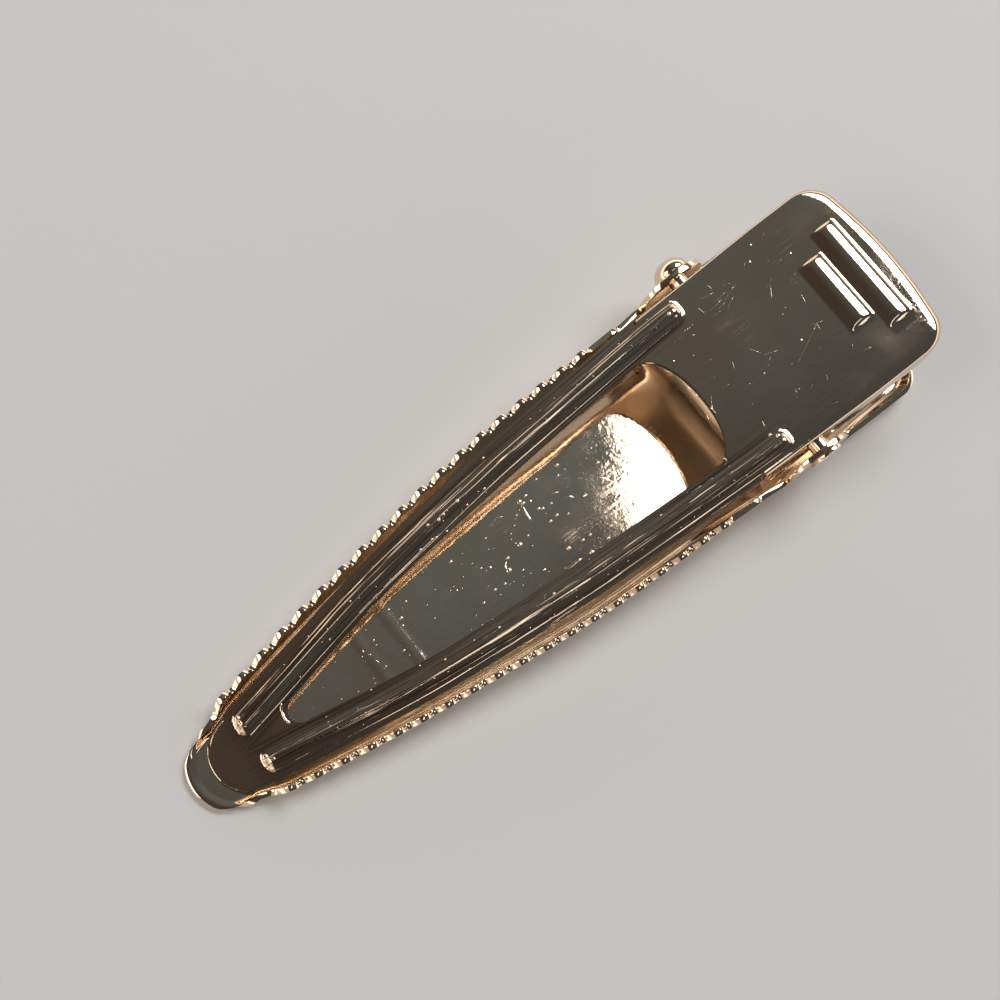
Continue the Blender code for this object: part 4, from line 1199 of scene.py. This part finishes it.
def rose_gold_plating(name, pale, deep, gloss, haze=0.05, metal=1.0, drawn=False):
    """Rose gold electroplate over stamped steel: a warm mirror whose tone drifts a little.

    The eye sees a faint orange-peel, fine rolling lines, hairline scratches in patches, and dust under the
    lacquer. Patterns are in millimetres. On drawn sheet the lines follow the ribs by the UV map, which holds
    the distance along the part and the distance in from its edge.
    """
    material = bpy.data.materials.new(name)
    material.use_nodes = True
    tree = material.node_tree
    shader = tree.nodes["Principled BSDF"]
    coordinates = node(tree, "ShaderNodeTexCoord")
    layout = coordinates.outputs["UV"]
    spot = node(tree, "ShaderNodeMapping", {
        "Vector": coordinates.outputs["Object"], "Scale": (per_metre,) * 3}).outputs["Vector"]
    # Tone, drifting over about 8 mm
    drift = node(tree, "ShaderNodeTexNoise", {"Vector": spot, "Scale": 0.12, "Detail": 2.0}).outputs["Fac"]
    tone = node(tree, "ShaderNodeMapRange", {"Value": drift, "From Min": 0.35, "From Max": 0.65})
    colour = node(tree, "ShaderNodeMix", {
        "Factor": tone.outputs["Result"], 6: linear(pale), 7: linear(deep)}, data_type="RGBA").outputs[2]
    # Waves of the pressed sheet 4 mm long, orange-peel of 0.7 mm and a finer one of 0.25 mm
    waves = node(tree, "ShaderNodeTexNoise", {"Vector": spot, "Scale": 0.25, "Detail": 0.0}).outputs["Fac"]
    peel = node(tree, "ShaderNodeTexNoise", {"Vector": spot, "Scale": 1.4, "Detail": 1.0}).outputs["Fac"]
    grain = node(tree, "ShaderNodeTexNoise", {"Vector": spot, "Scale": 4.0, "Detail": 2.0}).outputs["Fac"]
    # Rolling or drawing lines, 0.3 mm apart and 15 mm long
    if drawn:
        along = node(tree, "ShaderNodeMapping", {"Vector": layout, "Scale": (70, 3200, 1)})
    else:
        along = node(tree, "ShaderNodeMapping", {"Vector": spot, "Scale": (0.07, 3.2, 3.2)})
    lines = node(tree, "ShaderNodeTexNoise", {
        "Vector": along.outputs["Vector"], "Scale": 1.0, "Detail": 2.0}).outputs["Fac"]
    hairs, dust = hairline_scratches(tree, spot), lacquer_dust(tree, spot)
    # Heights in millimetres
    heights = [(waves, 0.012), (peel, 0.003), (grain, 0.0024), (dust, 0.02)]
    if drawn:
        rail, creases, crease_shade_and_streaks = drawn_rib_marks(tree, layout, spot, lines)
        on_rails = node(tree, "ShaderNodeMath", {0: lines, 1: rail}, operation="MULTIPLY").outputs[0]
        heights += [(lines, 0.0015), (on_rails, 0.012), (hairs, -0.001)] + creases
        # Painted shade beside the creases and the darker drawing streaks go into the colour
        colour = node(tree, "ShaderNodeMix", {
            "Factor": crease_shade_and_streaks, 6: colour, 7: linear(crease_shade_and_streak_colour)}, data_type="RGBA").outputs[2]
    else:
        heights.append((lines, 0.001))
    bump = node(tree, "ShaderNodeBump", {
        "Height": sum_of(tree, *heights), "Distance": mm, "Strength": 1.0}).outputs["Normal"]
    # Haze where the plate was handled, drifting over 3 mm
    smear = node(tree, "ShaderNodeTexNoise", {"Vector": spot, "Scale": 0.3, "Detail": 3.0}).outputs["Fac"]
    smear = node(tree, "ShaderNodeMapRange", {
        "Value": smear, "From Min": 0.4, "From Max": 0.75, "To Min": gloss,
        "To Max": gloss + haze}).outputs["Result"]
    rough = sum_of(tree, (smear, 1.0), (hairs, 0.07), (dust, 0.08))
    tree.links.new(colour, shader.inputs["Base Color"])
    tree.links.new(rough, shader.inputs["Roughness"])
    tree.links.new(bump, shader.inputs["Normal"])
    shader.inputs["Metallic"].default_value = metal
    return material


# Table, light and camera
def build_table():
    """A matt table a hair below the clip, clear where it is seen from below."""
    bm = bmesh.new()
    place = Matrix.Translation((0, 0, -table_gap))
    bmesh.ops.create_grid(bm, x_segments=1, y_segments=1, size=table_half_width, matrix=place)
    material = bpy.data.materials.new("pale matt table")
    material.use_nodes = True
    tree = material.node_tree
    shader = tree.nodes["Principled BSDF"]
    shader.inputs["Base Color"].default_value = linear(table_colour)
    shader.inputs["Roughness"].default_value = table_roughness
    side = node(tree, "ShaderNodeNewGeometry").outputs["Backfacing"]
    clear = node(tree, "ShaderNodeBsdfTransparent").outputs["BSDF"]
    mixed = node(tree, "ShaderNodeMixShader", {
        0: side, 1: shader.outputs["BSDF"], 2: clear}).outputs["Shader"]
    tree.links.new(mixed, tree.nodes["Material Output"].inputs["Surface"])
    item = finished("table", bm, material, None)


def build_lamp(name, place, size, radiance, colour, turn=None):
    """A soft rectangular lamp: level and turned about the upright, or facing the clip without a turn."""
    light = bpy.data.lights.new(name, "AREA")
    light.shape = "RECTANGLE"
    light.size, light.size_y = size
    light.energy = radiance * math.pi * size[0] * size[1]
    light.color = linear(colour)[:3]
    item = bpy.data.objects.new(name, light)
    item.location = place
    if turn is None:
        item.rotation_euler = Vector(place).to_track_quat("Z", "Y").to_euler()
    else:
        item.rotation_euler = (0, 0, turn)
    bpy.context.scene.collection.objects.link(item)


def build_world():
    """A room that is dark overhead, with tones that drift, and bright towards its walls."""
    world = bpy.data.worlds.new("room")
    bpy.context.scene.world = world
    world.use_nodes = True
    tree = world.node_tree
    way = node(tree, "ShaderNodeTexCoord").outputs["Generated"]
    parts = node(tree, "ShaderNodeSeparateXYZ", {"Vector": way})
    shade = linear(overhead_colour)
    for axis, start, end, most, course, colour in overhead_tones:
        share = node(tree, "ShaderNodeMapRange", {
            "Value": parts.outputs[axis], "From Min": start, "From Max": end, "To Max": most},
            interpolation_type=course).outputs["Result"]
        shade = node(tree, "ShaderNodeMix", {
            "Factor": share, 6: shade, 7: linear(colour)}, data_type="RGBA").outputs[2]
    overhead = node(tree, "ShaderNodeBackground", {"Color": shade, "Strength": 1.0}).outputs["Background"]
    walls = node(tree, "ShaderNodeBackground", {
        "Color": linear(wall_colour), "Strength": wall_light}).outputs["Background"]
    low = node(tree, "ShaderNodeMapRange", {
        "Value": parts.outputs["Z"], "From Min": wall_top, "From Max": wall_full},
        interpolation_type="SMOOTHSTEP").outputs["Result"]
    mixed = node(tree, "ShaderNodeMixShader", {0: low, 1: overhead, 2: walls}).outputs["Shader"]
    tree.links.new(mixed, tree.nodes["World Output"].inputs["Surface"])


def build_camera():
    """The camera at the photograph's place, turned about the upright first, then tilted along and across."""
    data = bpy.data.cameras.new("camera")
    data.lens = camera_lens
    data.sensor_width = camera_sensor
    data.clip_start = camera_clip_start
    item = bpy.data.objects.new("camera", data)
    turn = (
        Matrix.Rotation(camera_tilt_across, 4, "X")
        @ Matrix.Rotation(-camera_tilt_along, 4, "Y")
        @ Matrix.Rotation(-camera_turn, 4, "Z")
    )
    item.matrix_world = Matrix.Translation(camera_place) @ turn
    bpy.context.scene.collection.objects.link(item)
    bpy.context.scene.camera = item


# Finishes: name, pale and deep tone, roughness, how much of a haze lies over it, metallic share
drawn_sheet = rose_gold_plating(
    "bright rose gold plate on drawn steel", "#e8cfb6", "#dcc0a4", 0.03, drawn=True)
hazy_plate = rose_gold_plating(
    "thin hazy rose gold plate inside the bend", "#ece6e1", "#e0d8d0", 0.20, 0.06, 0.6)
rolled_sheet = rose_gold_plating("bright rose gold plate on rolled steel", "#f6e2ca", "#efd6ba", 0.03)
turned_pin = rose_gold_plating("bright rose gold plate on a turned rivet", "#f8dfc6", "#f2d2b4", 0.05)
build_jaw(rolled_sheet)
build_arm(drawn_sheet, hazy_plate)
build_spring(hazy_plate)
build_pin(turned_pin)
build_lacquer(rolled_sheet)

build_table()
build_world()
for lamp in lamps:
    build_lamp(*lamp)
build_camera()
bpy.context.scene.view_settings.view_transform = "Standard"
